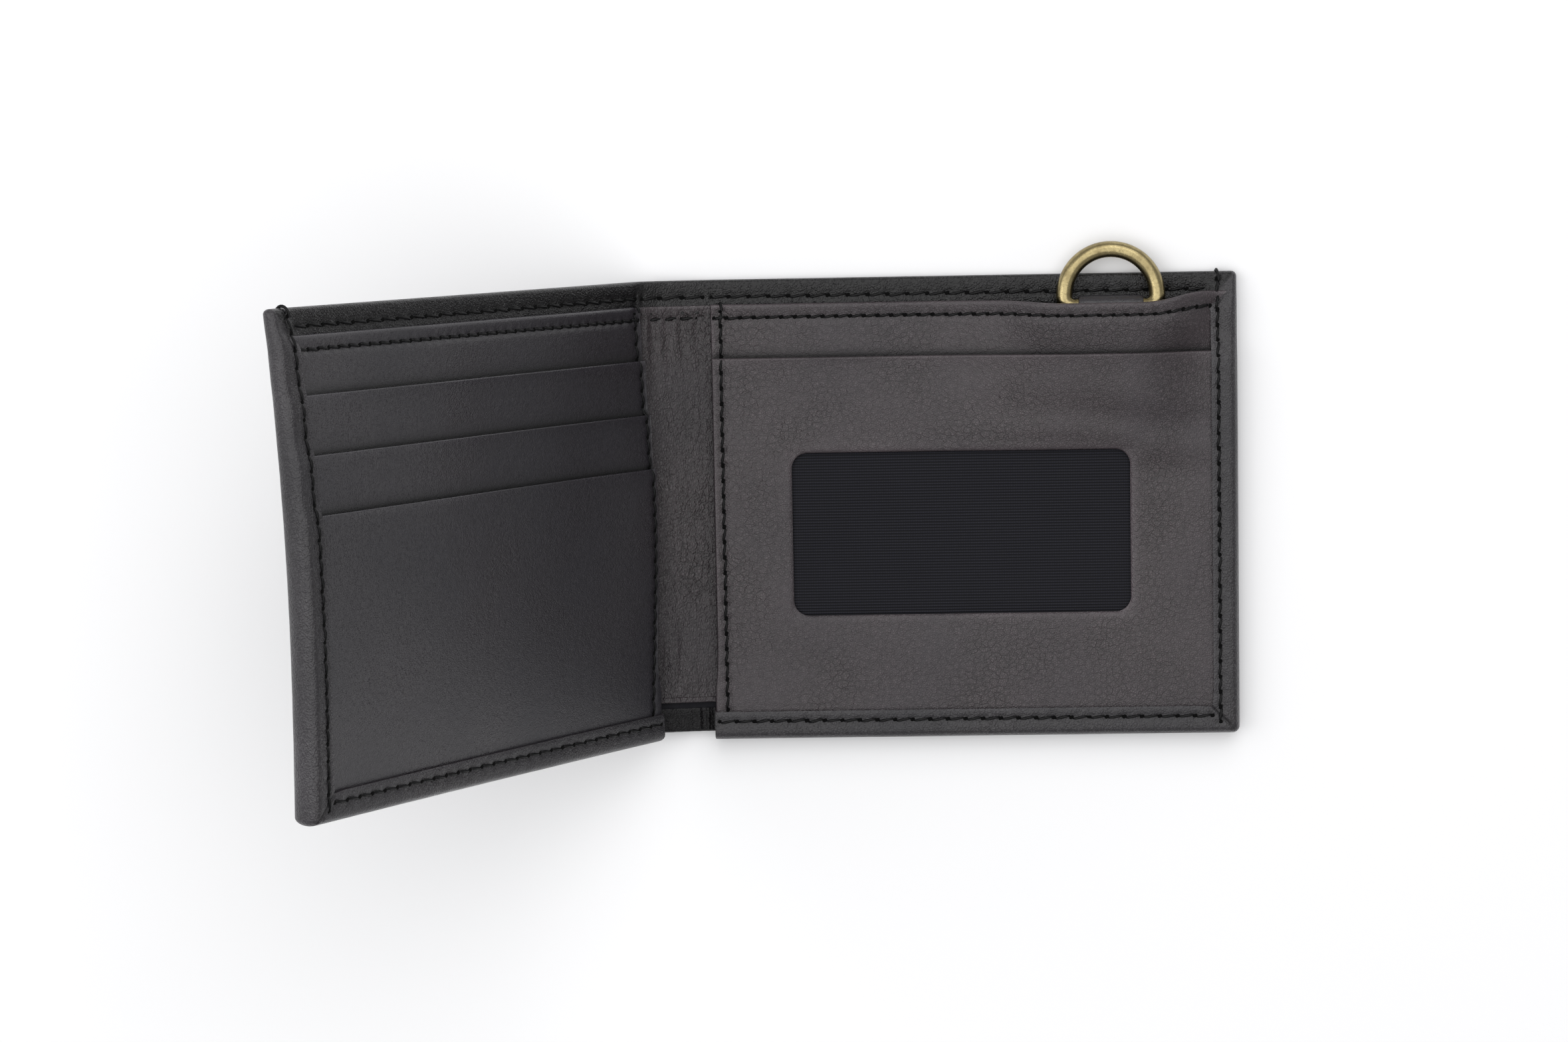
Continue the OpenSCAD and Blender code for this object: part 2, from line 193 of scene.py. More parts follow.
def seams():
    """Places of the seams: two levels up the wallet from each edge, and two distances from the fold."""
    n = sizes()
    return SimpleNamespace(
        mouth=L.top - n.mouth_inset, panel=L.mouth - n.panel_inset, bottom=L.bottom + n.bottom_inset,
        side=L.wing_w - n.side_hem + n.side_inset, fold=L.layer + n.fold_inset)


def pocket_heights():
    """Lower and upper face of the three card pockets, back to front."""
    n = sizes()
    step = n.pocket + n.card_room
    return [(L.panel_h[1] + n.card_room + i * step, L.panel_h[1] + (i + 1) * step) for i in range(3)]


# ---------------------------------------------------------------- placing and meshing

WING_ARM, SPINE_ARM = (1.2, 2.8), (2.6, 5.4)  # arms of a fold's curve, at the bottom and above it
TWIST = 3.2  # how far the left wing's free edge is twisted, in all
SWELL, NEAR_SWELL = 2.3, 1.5  # lift of the inner layers over the ring's tab, wide and near
SPINE_REACH = 5.7  # the mouth's seam on the spine, from its middle to its last hole
RIM = 8.0  # width of the outer leather's border that is carried round the outline
TUCK = 1.5  # how far inside the outer edge the inner layers end
FOLDED = 2.0  # height of the outer leather folded once
OVERLAP = 3.4  # how far the spine's soft leather lies on each wing
LEAN = 9.0  # angle of a stitch to its seam, in degrees
# painted shade: the share of a seam's dent that is painted darker in the colour
SEAM_SHADE = 0.7  # share of a seam's dent that shows as darkness


def place(s, v, h):
    """Wallet coordinates to the frame, in metres. The outer leather's inner face runs straight
    along the right wing, the spine and the left wing, with a quadratic curve over each fold,
    C + (1-t)^2 a + t^2 b for arms a and b; h is laid off square to it."""
    s, v, h = np.broadcast_arrays(np.asarray(s, float), np.asarray(v, float), np.asarray(h, float))
    way = [np.array([-math.cos(a), math.sin(a)]) for a in (0.0, L.lean, L.tilt)]
    u = -s - L.spine_w
    on_right, on_left = s > 0, u > 0
    run = np.where(on_right, -s, np.where(on_left, u, -s))
    x = np.where(on_left, L.far_fold[0], L.fold[0])
    z = np.where(on_left, L.far_fold[2], L.fold[2])
    angle = np.where(on_right, 0.0, np.where(on_left, L.tilt, L.lean))
    x, z = x - run * np.cos(angle), z + run * np.sin(angle)
    soft = ease((v - L.bottom - 6) / 12)
    wing_arm, spine_arm = (a[0] + (a[1] - a[0]) * soft for a in (WING_ARM, SPINE_ARM))
    for s0, centre, near, far, arms in ((0.0, L.fold, way[0], way[1], (wing_arm, spine_arm)),
                                        (-L.spine_w, L.far_fold, way[1], way[2], (spine_arm, wing_arm))):
        t = np.clip((arms[0] - (s - s0)) / (arms[0] + arms[1]), 0, 1)
        start = [-arms[0] * c for c in near]
        stop = [arms[1] * c for c in far]
        inside = (s - s0 < arms[0]) & (s - s0 > -arms[1])
        x = np.where(inside, centre[0] + (1 - t) ** 2 * start[0] + t ** 2 * stop[0], x)
        z = np.where(inside, centre[2] + (1 - t) ** 2 * start[1] + t ** 2 * stop[1], z)
        dx, dz = t * stop[0] - (1 - t) * start[0], t * stop[1] - (1 - t) * start[1]
        angle = np.where(inside, np.arctan2(dz, -dx), angle)
    share = np.clip(u / L.wing_w, 0, 1.1)
    tall = L.top - L.bottom
    bow = 1.6 * np.cos(math.pi * np.clip(v / tall, -0.5, 0.5))
    h = h + share ** 2 * (TWIST * (0.13 - v / tall) + bow)
    off = h - L.fold[2]
    return np.stack([x + off * np.sin(angle), v, z + off * np.cos(angle)], -1) * MM


def across(side, u):
    """Distance u from a wing's own fold line, as s; and the same back again."""
    return u if side == RIGHT else -L.spine_w - u


def lines(low, high, step, fine=()):
    """Grid lines from low to high, step apart, and closer in each (low, high, step) band."""
    x = np.linspace(low, high, 6001)
    density = np.full_like(x, 1 / step)
    for start, stop, close in fine:
        density = np.where((x >= start) & (x <= stop), np.maximum(density, 1 / close), density)
    total = np.concatenate(([0.0], np.cumsum((density[1:] + density[:-1]) / 2 * np.diff(x))))
    return np.interp(np.linspace(0, total[-1], int(np.ceil(total[-1])) + 1), total, x)


def grid_quads(index):
    """Quads of a grid of vertex numbers."""
    return np.stack([index[:-1, :-1], index[1:, :-1], index[1:, 1:], index[:-1, 1:]], -1).reshape(-1, 4)


def numbered(shape, first=0):
    """A grid of vertex numbers."""
    return first + np.arange(int(np.prod(shape))).reshape(shape)


def build(name, points, quads, materials, uv, edge=None, kinds=None, merge=0.0, outwards=False):
    """A smooth mesh object. uv holds wallet coordinates per point. edge is 1 on a worn edge and falls to 0
    away from it, and runs below 0 in a seam or a gap, where it is painted shade; on thread, 1 marks the
    painted shade in a hole."""
    mesh = bpy.data.meshes.new(name)
    mesh.from_pydata(points.reshape(-1, 3), [], quads.tolist())
    corner_points = np.empty(len(mesh.loops), np.int32)
    mesh.loops.foreach_get("vertex_index", corner_points)
    lay = uv.reshape(-1, 2)[corner_points].astype(np.float32)
    mesh.uv_layers.new(name="lay").data.foreach_set("uv", lay.ravel())
    worn = mesh.attributes.new("edge", "FLOAT", "POINT")
    worn.data.foreach_set("value", np.zeros(len(mesh.vertices), np.float32) if edge is None
                          else edge.ravel().astype(np.float32))
    for material in materials:
        mesh.materials.append(material)
    if kinds is not None:
        mesh.polygons.foreach_set("material_index", np.asarray(kinds, np.int32))
    mesh.polygons.foreach_set("use_smooth", np.ones(len(mesh.polygons), bool))
    if merge or outwards:
        work = bmesh.new()
        work.from_mesh(mesh)
        if merge:
            bmesh.ops.remove_doubles(work, verts=work.verts, dist=merge)
        if outwards:
            bmesh.ops.recalc_face_normals(work, faces=work.faces)
        work.to_mesh(mesh)
        work.free()
    mesh.update()
    made = bpy.data.objects.new(name, mesh)
    bpy.context.scene.collection.objects.link(made)
    return made


def joined(parts):
    """Joins (points, quads, uv, edge) parts into one set of arrays."""
    count, points, quads, uvs, edges = 0, [], [], [], []
    for p, q, t, e in parts:
        points.append(p.reshape(-1, 3))
        quads.append(q + count)
        uvs.append(t.reshape(-1, 2))
        edges.append(np.broadcast_to(e, p.shape[:-1]).ravel())
        count += len(points[-1])
    return np.concatenate(points), np.concatenate(quads), np.concatenate(uvs), np.concatenate(edges)


def quarter(distance, radius):
    """Share of the full thickness near a border: a quarter ellipse over the last radius."""
    return np.sqrt(np.clip(1 - (1 - np.clip(distance / radius, 0, 1)) ** 2, 0, 1))


def disc(a, b):
    """Moves the unit square's outer sides onto the unit circle: a sqrt(1 - b^2/2), b sqrt(1 - a^2/2)."""
    return a * np.sqrt(1 - b ** 2 / 2), b * np.sqrt(1 - a ** 2 / 2)


def sheet(name, side, s_lines, v_lines, top, bottom, materials, radius=0.35,
          hole=None, cut=(), shift=None, butt=(), painted_shade=None):
    """A closed sheet: two height fields top(u, v) and bottom(u, v) over one grid, which meet in a rounded
    border. hole is (s0, s1, v0, v1, r), a window with rounded corners. cut names the borders, from s-, s+, v-
    and v+, that show raw leather. shift(u, v) moves a point up the wallet in the end. butt names the borders
    that end square against a neighbour. The last argument, a function of (u, v), gives painted shade: how
    deep a point lies in a seam, or how near it lies to the gap above a pocket's edge, which is painted darker
    in its colour."""
    if "s-" in butt:
        s_lines = np.concatenate([s_lines[:1], s_lines[:1] + 0.01, s_lines[1:]])
    if "s+" in butt:
        s_lines = np.concatenate([s_lines[:-1], s_lines[-1:] - 0.01, s_lines[-1:]])
    s, v = np.meshgrid(s_lines, v_lines, indexing="ij")
    gaps = {"s-": s - s_lines[0], "s+": s_lines[-1] - s, "v-": v - v_lines[0], "v+": v_lines[-1] - v}
    border = np.minimum.reduce([g * (100 * radius if side in butt else 1) for side, g in gaps.items()])
    raw = np.minimum.reduce([gaps[c] for c in cut]) if cut else np.full_like(border, 9.0)
    keep = np.ones((s.shape[0] - 1, s.shape[1] - 1), bool)
    if hole:
        s0, s1, v0, v1, r = hole
        out = np.maximum(np.maximum(s0 - s, s - s1), np.maximum(v0 - v, v - v1))
        border = np.minimum(border, np.maximum(out, 0))
        ms, mv = (s[:-1, :-1] + s[1:, 1:]) / 2, (v[:-1, :-1] + v[1:, 1:]) / 2
        keep = ~((ms > s0) & (ms < s1) & (mv > v0) & (mv < v1))
        for cs, cv, ss, sv in ((s0 + r, v0 + r, -1, -1), (s0 + r, v1 - r, -1, 1),
                               (s1 - r, v0 + r, 1, -1), (s1 - r, v1 - r, 1, 1)):
            a, b = (s - cs) * ss / r, (v - cv) * sv / r
            inside = (a > 0) & (b > 0)
            ca, cb = np.clip(a, 0, 1), np.clip(b, 0, 1)
            da, db = disc(ca, cb)
            fade = np.clip(1 - np.maximum(np.maximum(a, b) - 1, 0) / 1.2, 0, 1) * inside
            s, v = s + (da - ca) * fade * ss * r, v + (db - cb) * fade * sv * r
    u = across(side, s)
    high, low = top(u, v), bottom(u, v)
    middle, half, full = (high + low) / 2, (high - low) / 2, quarter(border, radius)
    if shift is not None:
        v = v + shift(u, v)
    upper, lower = place(s, v, middle + half * full), place(s, v, middle - half * full)
    front, back = numbered(s.shape), numbered(s.shape, s.size)
    pick = keep.ravel()
    quads = np.concatenate([grid_quads(front)[pick], grid_quads(back)[pick][:, ::-1]])
    uv = np.stack([s, v], -1)
    worn = np.exp(-border / 0.7)
    near = ((raw[:-1, :-1] + raw[1:, 1:]) / 2 < radius * 0.55).ravel()[pick]
    # painted shade: seams and gaps are darkened through the edge attribute
    if painted_shade is not None:
        worn = worn - painted_shade(u, v)
    points = np.concatenate([upper.reshape(-1, 3), lower.reshape(-1, 3)])
    made = build(name, points, quads, materials, np.tile(uv.reshape(-1, 2), (2, 1)), np.tile(worn.ravel(), 2),
                 np.tile(near.astype(int) * (len(materials) > 1), 2), merge=1e-6)
    if butt:
        made.data.set_sharp_from_angle(angle=math.radians(65))
    return made


# ---------------------------------------------------------------- leather's shape

def waves(s, v, size, seed):
    """A slow wobble between -1 and 1: four sines of about the given wavelength, in turned directions."""
    rng = np.random.default_rng(seed)
    total = np.zeros(np.broadcast(s, v).shape)
    turns, phases, scales = rng.uniform(0, math.pi, 4), rng.uniform(0, 2 * math.pi, 4), rng.uniform(0.7, 1.5,
                                                                                                    4)
    for turn, phase, scale in zip(turns, phases, scales):
        along = s * math.cos(turn) + v * math.sin(turn)
        total = total + np.sin(along * 2 * math.pi / (size * scale) + phase)
    return total / 4


def ease(x):
    """Cosine step from 0 to 1 as x goes from 0 to 1."""
    return 0.5 - 0.5 * np.cos(math.pi * np.clip(x, 0, 1))


def trough(along, off, pitch, depth=0.34, width=0.75):
    """Dent along a seam: a narrow trough that is deepest at each hole, one pitch apart."""
    hole = (0.5 + 0.5 * np.cos(2 * math.pi * along / pitch)) ** 2
    return depth * np.exp(-(off / width) ** 2) * (0.35 + 0.9 * hole)


def row_span(start, stop, pitch):
    """A seam's number of stitches and the exact pitch that fits it."""
    count = max(int(round((stop - start) / pitch)), 1)
    return count, (stop - start) / count


def seam_runs():
    """First and last hole of every seam and its exact pitch, along the way it runs."""
    n = sizes()
    runs = {
        "mouth": (1.5, L.wing_w - n.side_hem - 0.6, n.mouth_pitch),
        "panel": (L.layer + 0.9, L.wing_w - n.side_hem - 0.2, n.panel_pitch),
        "bottom": (2.0, L.wing_w - n.side_hem - 0.2, n.bottom_pitch),
        "side": (L.bottom + n.corner + 1.0, L.top - 1.4, n.side_pitch),
        "fold": (L.bottom + n.bottom_hem + 0.3, L.mouth - 1.2, n.side_pitch),
    }
    return {k: (a, b, row_span(a, b, p)[1]) for k, (a, b, p) in runs.items()}


def dent(kind, along, off):
    """The dent of one seam, faded out past its two ends."""
    start, stop, step = seam_runs()[kind]
    inside = ease((along - start + 1.0) / 1.2) * ease((stop + 1.0 - along) / 1.2)
    return trough(along - start, off, step) * inside


def bulge(side, u, v):
    """Rise of the right wing's inner panel over the ring's tab: from the swollen layers to the
    panel's full height, by a cosine step in from each side of the ring and up from the slot."""
    start, half = L.slot - 1.0, (L.ring_box[1][0] - L.ring_box[0][0]) / 2 + 10.5
    x = u + L.fold[0]
    over = ease((half + 1 - np.abs(x - L.ring[0])) / 12.0) * ease((v - start) / (L.ring[1] - 1.6 - start))
    return (side == RIGHT) * over * (L.panel_high - L.panel_h[1] - swollen(u, v))


def swollen(u, v):
    """Lift of all the right wing's inner layers by the ring's tab under them: a wide soft swell,
    and a nearer one below the ring."""
    x = np.abs(u + L.fold[0] - L.ring[0])
    hem = ease((L.wing_w - 3 - u) / 17)
    wide = ease((36 - x) / 28) * ease((v + 4) / (L.ring[1] - 2))
    near = ease((36 - x) / 30) * ease((v - L.slot + 24) / 26)
    return hem * (SWELL * wide + NEAR_SWELL * near)


def dip(side, u, v):
    """How far the right inner panel's top edge is drawn down over the ring, and up beside the side hem."""
    over_ring = ease((20 - np.abs(u + L.fold[0] - L.ring[0] + 2)) / 14)
    at_hem = ease((u - L.wing_w + 17) / 11)
    return (side == RIGHT) * (0.7 * over_ring - 1.1 * at_hem) * ease((v - 33) / (L.mouth - 33))


def stack(side, u, v):
    """Shared lift of a wing's inner layers: a slow wobble, and a bow where the cut edges stand
    off the fold, largest half way up."""
    bow = (1.7 if side == LEFT else 0.25) * np.exp(-(np.maximum(u, 0) / 14) ** 2)
    bow = bow * np.cos(math.pi * np.clip((v + 2) / 92, -0.5, 0.5)) ** 2
    calm = ease((L.wing_w - u) / 20) * ease((v - L.bottom) / 20)
    return bow + 0.16 * waves(u, v, 30, 5 + side) * calm + (side == RIGHT) * swollen(u, v)


def drag(u, v):
    """Soft level folds that the ring's pull leaves in the window panel: a sine up the panel, bent
    with u, under a bell round a point below the ring."""
    x = u + L.fold[0] - L.ring[0]
    bell = np.exp(-(x / 24) ** 2 - ((v - 13) / 9) ** 2)
    return 0.30 * np.sin(v * 0.62 + x * 0.05 + 0.5 * np.sin(x / 7)) * bell


def lip(u, v, slot):
    """A pocket's top edge stands a little open between its two seams."""
    between = ease((u - 3.5) / 9) * ease((L.wing_w - 6.5 - u) / 9)
    return (0.12 + 0.45 * between) * np.exp(-np.clip(slot - v, 0, 50) / 1.5)


def shade_over(v, slot):
    """Painted shade in the gap just above a pocket's top edge."""
    return 1.1 * np.exp(-np.clip(v - slot, 0, 50) / 0.8) * (v > slot - 0.6)


def layer_top(side, u, v):
    """Height of the uppermost inner layer, hems left out."""
    if side == RIGHT:
        base = np.where(v > L.slot, L.panel_h[1], L.window_h[1])
    else:
        base = np.full(np.shape(v), L.panel_h[1])
        for slot, (_, high) in zip(L.slots, pocket_heights()):
            base = np.where(v <= slot, high, base)
    return base + stack(side, u, v) + bulge(side, u, v)


def hem_height(side, v):
    """Top of the turned side hem: it steps down with the layers under it towards the mouth."""
    n, pockets = sizes(), pocket_heights()
    over = n.leather
    if side == RIGHT:
        levels = [(None, L.hem_h), (L.slot, L.panel_h[1] + over + 0.1)]
    else:
        levels = [(None, pockets[2][1] + over), (L.slots[2], pockets[1][1] + over),
                  (L.slots[1], pockets[0][1] + over), (L.slots[0], L.panel_h[1] + over + 0.1)]
    levels.append((L.mouth, FOLDED + over))
    top = np.full(np.shape(v), levels[0][1])
    for (_, before), (at, after) in zip(levels, levels[1:]):
        top = top + (after - before) * ease((v - at + 2.5) / 6.0)
    return top


# ---------------------------------------------------------------- outer leather

def rim_path(d, columns, rows):
    """Points at distance d inside a wing's outline, for every step of the way round it: along
    the bottom, round the lower corner, up the side, round the upper corner and back along the
    mouth. An offset outline has corner radius R - d, and is sharp from there on. Returned with
    the last step of each of the nine runs."""
    n = sizes()
    d = d[None, :]
    to, off = np.linspace(0, 1, 9)[1:, None], np.linspace(0, 1, 9)[:-1, None]
    turn = np.linspace(0, math.pi / 2, 8)[1:-1, None]
    relief = ((L.spine_bottom - L.bottom) * ease((1.25 - columns) / 0.3))[:, None]
    W = L.wing_w
    r1, m1 = np.maximum(n.corner - d, 0), np.maximum(n.corner, d)
    r2, m2 = np.maximum(n.upper_corner - d, 0), np.maximum(n.upper_corner, d)
    back = columns[::-1][:, None]
    runs = [
        (columns[:, None] + 0 * d, L.bottom + d + relief * (1 - d / RIM)),
        (W - RIM + to * (RIM - m1), L.bottom + d + 0 * to),
        (W - m1 + r1 * np.sin(turn), L.bottom + m1 - r1 * np.cos(turn)),
        (W - d + 0 * off, L.bottom + m1 + off * (RIM - m1)),
        (W - d + 0 * rows[:, None], rows[:, None] + 0 * d),
        (W - d + 0 * to, L.top - RIM + to * (RIM - m2)),
        (W - m2 + r2 * np.cos(turn), L.top - m2 + r2 * np.sin(turn)),
        (W - m2 - off * (RIM - m2), L.top - d + 0 * off),
        (back + 0 * d, L.top - d + 0 * back),
    ]
    u, v = (np.concatenate([r[k] for r in runs]) for k in (0, 1))
    return u, v, np.cumsum([len(r[0]) for r in runs])


def outer_dent(u, v):
    """Dents of the outer leather along the mouth, bottom and side seams."""
    at = seams()
    x = np.abs(u + L.spine_w / 2)
    pitch = row_span(-SPINE_REACH, SPINE_REACH, sizes().mouth_pitch)[1]
    over_spine = trough(x + SPINE_REACH, v - at.mouth, pitch) * ease((SPINE_REACH + 1 - x) / 1.2)
    return (dent("mouth", u, v - at.mouth) + dent("bottom", u, v - at.bottom)
            + dent("side", v, u - at.side) + over_spine)


def skin(u, v):
    """Small undulation of the outer leather."""
    return 0.09 * waves(u, v, 9, 21) + 0.05 * waves(u, v, 3.3, 22)


def outer_leather(side, name, materials):
    """One wing's outer leather with half of the spine's, as a single folded skin. The face is a
    grid; round it a profile is carried along the outline: the hem's top, half an ellipse round
    the fold, and the outer part of the face. The skin is then thickened inwards."""
    n = sizes()
    columns = lines(-L.spine_w / 2, L.wing_w - RIM, 0.8, [(-2.4, 2.0, 0.25)])
    rows = lines(L.bottom + RIM, L.top - RIM, 0.8)
    on_top, under = np.linspace(1, 0, 10), np.linspace(0, 1, 10)
    bend = np.linspace(math.pi / 2, -math.pi / 2, 14)[1:-1]
    tracks = 160
    reach = np.linspace(0, RIM, tracks + 1)
    path_u, path_v, ends = rim_path(reach, columns, rows)
    steps = np.arange(ends[-1])
    u0, v0 = path_u[:, 0], path_v[:, 0]
    low_top = float(hem_height(side, np.array(L.bottom)))
    lower, upper_mean = (n.bottom_hem + n.side_hem) / 2, (n.side_hem + n.top_hem) / 2
    hem = np.interp(steps, [ends[0], ends[1] - 1, ends[2], ends[3], ends[4], ends[5] - 1, ends[6], ends[7]],
                    [n.bottom_hem, lower, lower, n.side_hem, n.side_hem, upper_mean, upper_mean, n.top_hem])
    at_bottom = low_top + (FOLDED - low_top) * ease((1.25 - u0) / 0.3)
    top = np.where(steps < ends[0], at_bottom, hem_height(side, v0))
    fall = np.interp(steps, [ends[6], ends[7]], [0, 1])
    top = np.where(steps >= ends[5] - 1, FOLDED + 0.9 - 0.9 * ease(fall * 1.2), top)
    turn = np.minimum(0.34 * top, 1.5)[:, None]
    d = np.concatenate([turn + (hem[:, None] - turn) * on_top, turn * (1 - np.cos(bend)),
                        turn + (RIM - turn) * under ** 1.3], 1)
    upper = np.concatenate([np.ones(len(on_top)), (1 + np.sin(bend)) / 2, np.zeros(len(under))])
    flat = np.concatenate([np.ones(len(on_top)), np.abs(np.sin(bend)) ** 2, np.ones(len(under))])
    k = d / RIM * tracks
    k0 = np.clip(k.astype(int), 0, tracks - 1)
    part, row = k - k0, steps[:, None]
    u = path_u[row, k0] * (1 - part) + path_u[row, k0 + 1] * part
    v = path_v[row, k0] * (1 - part) + path_v[row, k0 + 1] * part
    dents, wobble = outer_dent(u, v) * flat, skin(u, v)
    press = 0.15 * np.exp(-((hem[:, None] - d) / 0.5) ** 2) * (upper > 0.99)
    crease = 0.17 * np.sin(u * 5.2 + 1.1 * np.sin(u * 2.3)) * ease((0.9 - u) / 1.2) * (row < ends[0])
    gap_u, gap_v = L.wing_w - u, v - L.bottom
    cap = (0.30 * np.exp(-((v - (L.top - 3.4)) / 0.2) ** 2) * (row > ends[2]) * (row < ends[7])
           * (u > L.wing_w - n.side_hem - 0.4))
    mitre = (0.32 * np.exp(-((gap_u - gap_v) / 0.28) ** 2) * (gap_u < n.side_hem + 0.5)
             * ease((gap_u - 0.3) / 0.8) * (row < ends[4]) * (row > ends[0] - 2))
    cap = cap + mitre
    h = top[:, None] * upper + upper * (wobble * 0.7 + crease - dents - press - cap)
    h = h + (1 - upper) * (dents * 0.8 + np.abs(wobble) * 0.5)
    s = across(side, u)
    mu, mv = np.meshgrid(columns, rows, indexing="ij")
    ms, face_dents = across(side, mu), outer_dent(mu, mv)
    face = place(ms, mv, face_dents * 0.8 + np.abs(skin(mu, mv)) * 0.5)
    around, inside = grid_quads(numbered(s.shape))[:, ::-1], grid_quads(numbered(mu.shape))[:, ::-1]
    if side == LEFT:
        around, inside = around[:, ::-1], inside[:, ::-1]
    worn = np.exp(-((d - 0.1) / 0.9) ** 2) * (1 - 0.5 * np.abs(2 * upper - 1))
    raw = np.exp(-(hem[:, None] - d) / 0.4) * (upper > 0.99)
    # painted shade: the seam dents and the corner creases are darkened through the edge attribute; the rest
    # is rubbed wear
    edge = np.maximum(worn, 0.8 * raw) - 0.8 * dents - 1.5 * cap
    # painted shade: the mouth's turned band and the spine's foot take darker, shaded copies of the outer
    # leather
    shaded = (row >= ends[7] - 8) & (upper > 0.3) | (row < ends[0]) & (u < 1.1) & (upper > 0.3)
    shaded_finish = (shaded[:-1, :-1] & shaded[1:, 1:]) * np.where(row[:-1] > ends[3], 3, 2)
    kinds = np.concatenate([shaded_finish.ravel(), np.zeros((mu.shape[0] - 1) * (mu.shape[1] - 1), int)])
    # painted shade: the face's seam dents are darkened through the edge attribute
    points, quads, uv, edges = joined([(place(s, v, h), around, np.stack([s, v], -1), edge),
                                       (face, inside, np.stack([ms, mv], -1), -0.8 * face_dents)])
    made = build(name, points, quads, materials, uv, edges, kinds, merge=2e-5)
    return thicken(made, n.leather * 0.95)


def thicken(made, thickness):
    """Gives an open skin its thickness, inwards from its face, and keeps the border sharp."""
    wall = made.modifiers.new("thickness", "SOLIDIFY")
    wall.thickness, wall.offset, wall.material_offset_rim = thickness * MM, -1.0, 1
    solid = bpy.data.meshes.new_from_object(made.evaluated_get(bpy.context.evaluated_depsgraph_get()))
    made.modifiers.clear()
    made.data = solid
    solid.set_sharp_from_angle(angle=math.radians(55))
    return made


# ---------------------------------------------------------------- stitches

def on_seam(way, along, off):
    """Distance along a seam and the other coordinate, as s and v; way is "across" or "up"."""
    return (along, off) if way == "across" else (off, along)


def tubes(index):
    """Quads of eight-sided tubes whose vertices are numbered by tube, ring and corner, with
    three quads over each end."""
    wrap = np.concatenate([index, index[:, :, :1]], 2)
    walls = np.stack([wrap[:, :-1, :-1], wrap[:, 1:, :-1], wrap[:, 1:, 1:], wrap[:, :-1, 1:]], -1)
    ends = [index[:, ring][:, corners][:, ::turn] for ring, turn in ((0, 1), (-1, -1))
            for corners in ([0, 1, 2, 3], [0, 3, 4, 7], [4, 5, 6, 7])]
    return np.concatenate([walls.reshape(-1, 4)] + ends)


def stitch_row(way, fixed, run, height, lean, seed, under=False, shift=None):
    """A row of stitches. Each is a two-ply thread: its centre line is a shallow arc that dives
    into a hole at each end, and its outline a circle with two lobes that twist along it. fixed
    is the coordinate that the row keeps; height(s, v) is the leather's own height."""
    start, stop, step = run
    thread = sizes().thread
    count = row_span(start, stop, step)[0]
    rng = np.random.default_rng(seed)
    wander = rng.normal(0, 0.03, (count, 1, 1))
    tilt = np.tan(np.radians(lean + rng.normal(0, 1.6, (count, 1, 1))))
    centre = (start + (np.arange(count) + 0.5) * step)[:, None, None]
    t, ring = np.linspace(-1, 1, 8)[None, :, None], (np.arange(8) * math.pi / 4)[None, None, :]
    rad = thread / 2 * (1 - 0.4 * t ** 6) * (1 + 0.13 * np.cos(2 * ring - 5.0 * t - 0.6))
    along = centre + t * step * 0.45 + 0 * ring
    off = fixed + wander + t * step * 0.45 * tilt + rad * np.cos(ring)
    lift = 0.92 * rad * np.sin(ring) - 0.8 * thread * np.abs(t) ** 3
    h = height(*on_seam(way, along, fixed + 0 * along)) + (-lift if under else lift)
    s, v = on_seam(way, along, off)
    if shift is not None:
        v = v + shift(s, v)
    return place(s, v, h), tubes(numbered(h.shape)), np.stack([along + 0 * ring, ring + 0 * along], -1), 0.0


def hole_shade_lenses(way, fixed, run, height, under=False, shift=None):
    """Painted shade in a seam's holes: a flat dark lens at each, an ellipse turned a little against the seam,
    that lies in the dimple which the thread draws into the leather and is painted black by the thread's
    finish."""
    start, stop, step = run
    at = (start + np.arange(row_span(start, stop, step)[0] + 1) * step)[:, None, None]
    ring = (np.arange(8) * math.pi / 4)[None, None, :]
    tier = np.array([-1.0, -0.5, 0.5, 1.0])[None, :, None]
    wide = np.where(np.abs(tier) < 0.9, 1.0, 0.35)
    along = at + wide * (0.46 * np.cos(ring) + 0.12 * np.sin(ring))
    off = fixed + wide * 0.40 * np.sin(ring) + 0 * at
    centre = on_seam(way, at + 0 * along, fixed + 0 * along)
    h = height(*centre) + (-1 if under else 1) * (-0.21 + 0.05 * tier)
    s, v = on_seam(way, along, off)
    if shift is not None:
        v = v + shift(s, v)
    return place(s, v, h), tubes(numbered(h.shape)), np.stack([s, v], -1), 1.0


def seam_line(way, fixed, run, height, lean, seed, under=False, shift=None):
    """A row of stitches and the dark lenses of painted shade in its holes."""
    return [stitch_row(way, fixed, run, height, lean, seed, under, shift),
            hole_shade_lenses(way, fixed, run, height, under, shift)]


def edge_stitch(side, u, v_edge, middle, radius):
    """One stitch over an edge of the leather: a circle swept round an arc that starts and ends
    in the leather below the edge."""
    thread = sizes().thread
    t, ring = np.linspace(-1.15, 1.15, 12)[:, None], (np.arange(9) * math.pi / 4)[None, :]
    reach = radius + thread / 2 * np.cos(ring)
    v = v_edge - radius * 0.9 + reach * np.cos(t * math.pi / 2) * 1.15
    h = middle + reach * np.sin(t * math.pi / 2)
    s = across(side, u) + thread / 2 * np.sin(ring) + 0 * t + t * 0.3
    return place(s, v, h), grid_quads(numbered(h.shape)), np.stack([v, h], -1), 0.0


def thread_piece(name, parts, material, node, body):
    """One object from rows of stitches; it stands for that seam's node."""
    points, quads, uv, edge = joined(parts)
    made = build(name, points, quads, [material], uv, edge, merge=1e-7, outwards=True)
    return finished(made, body, "waxed_thread", node)


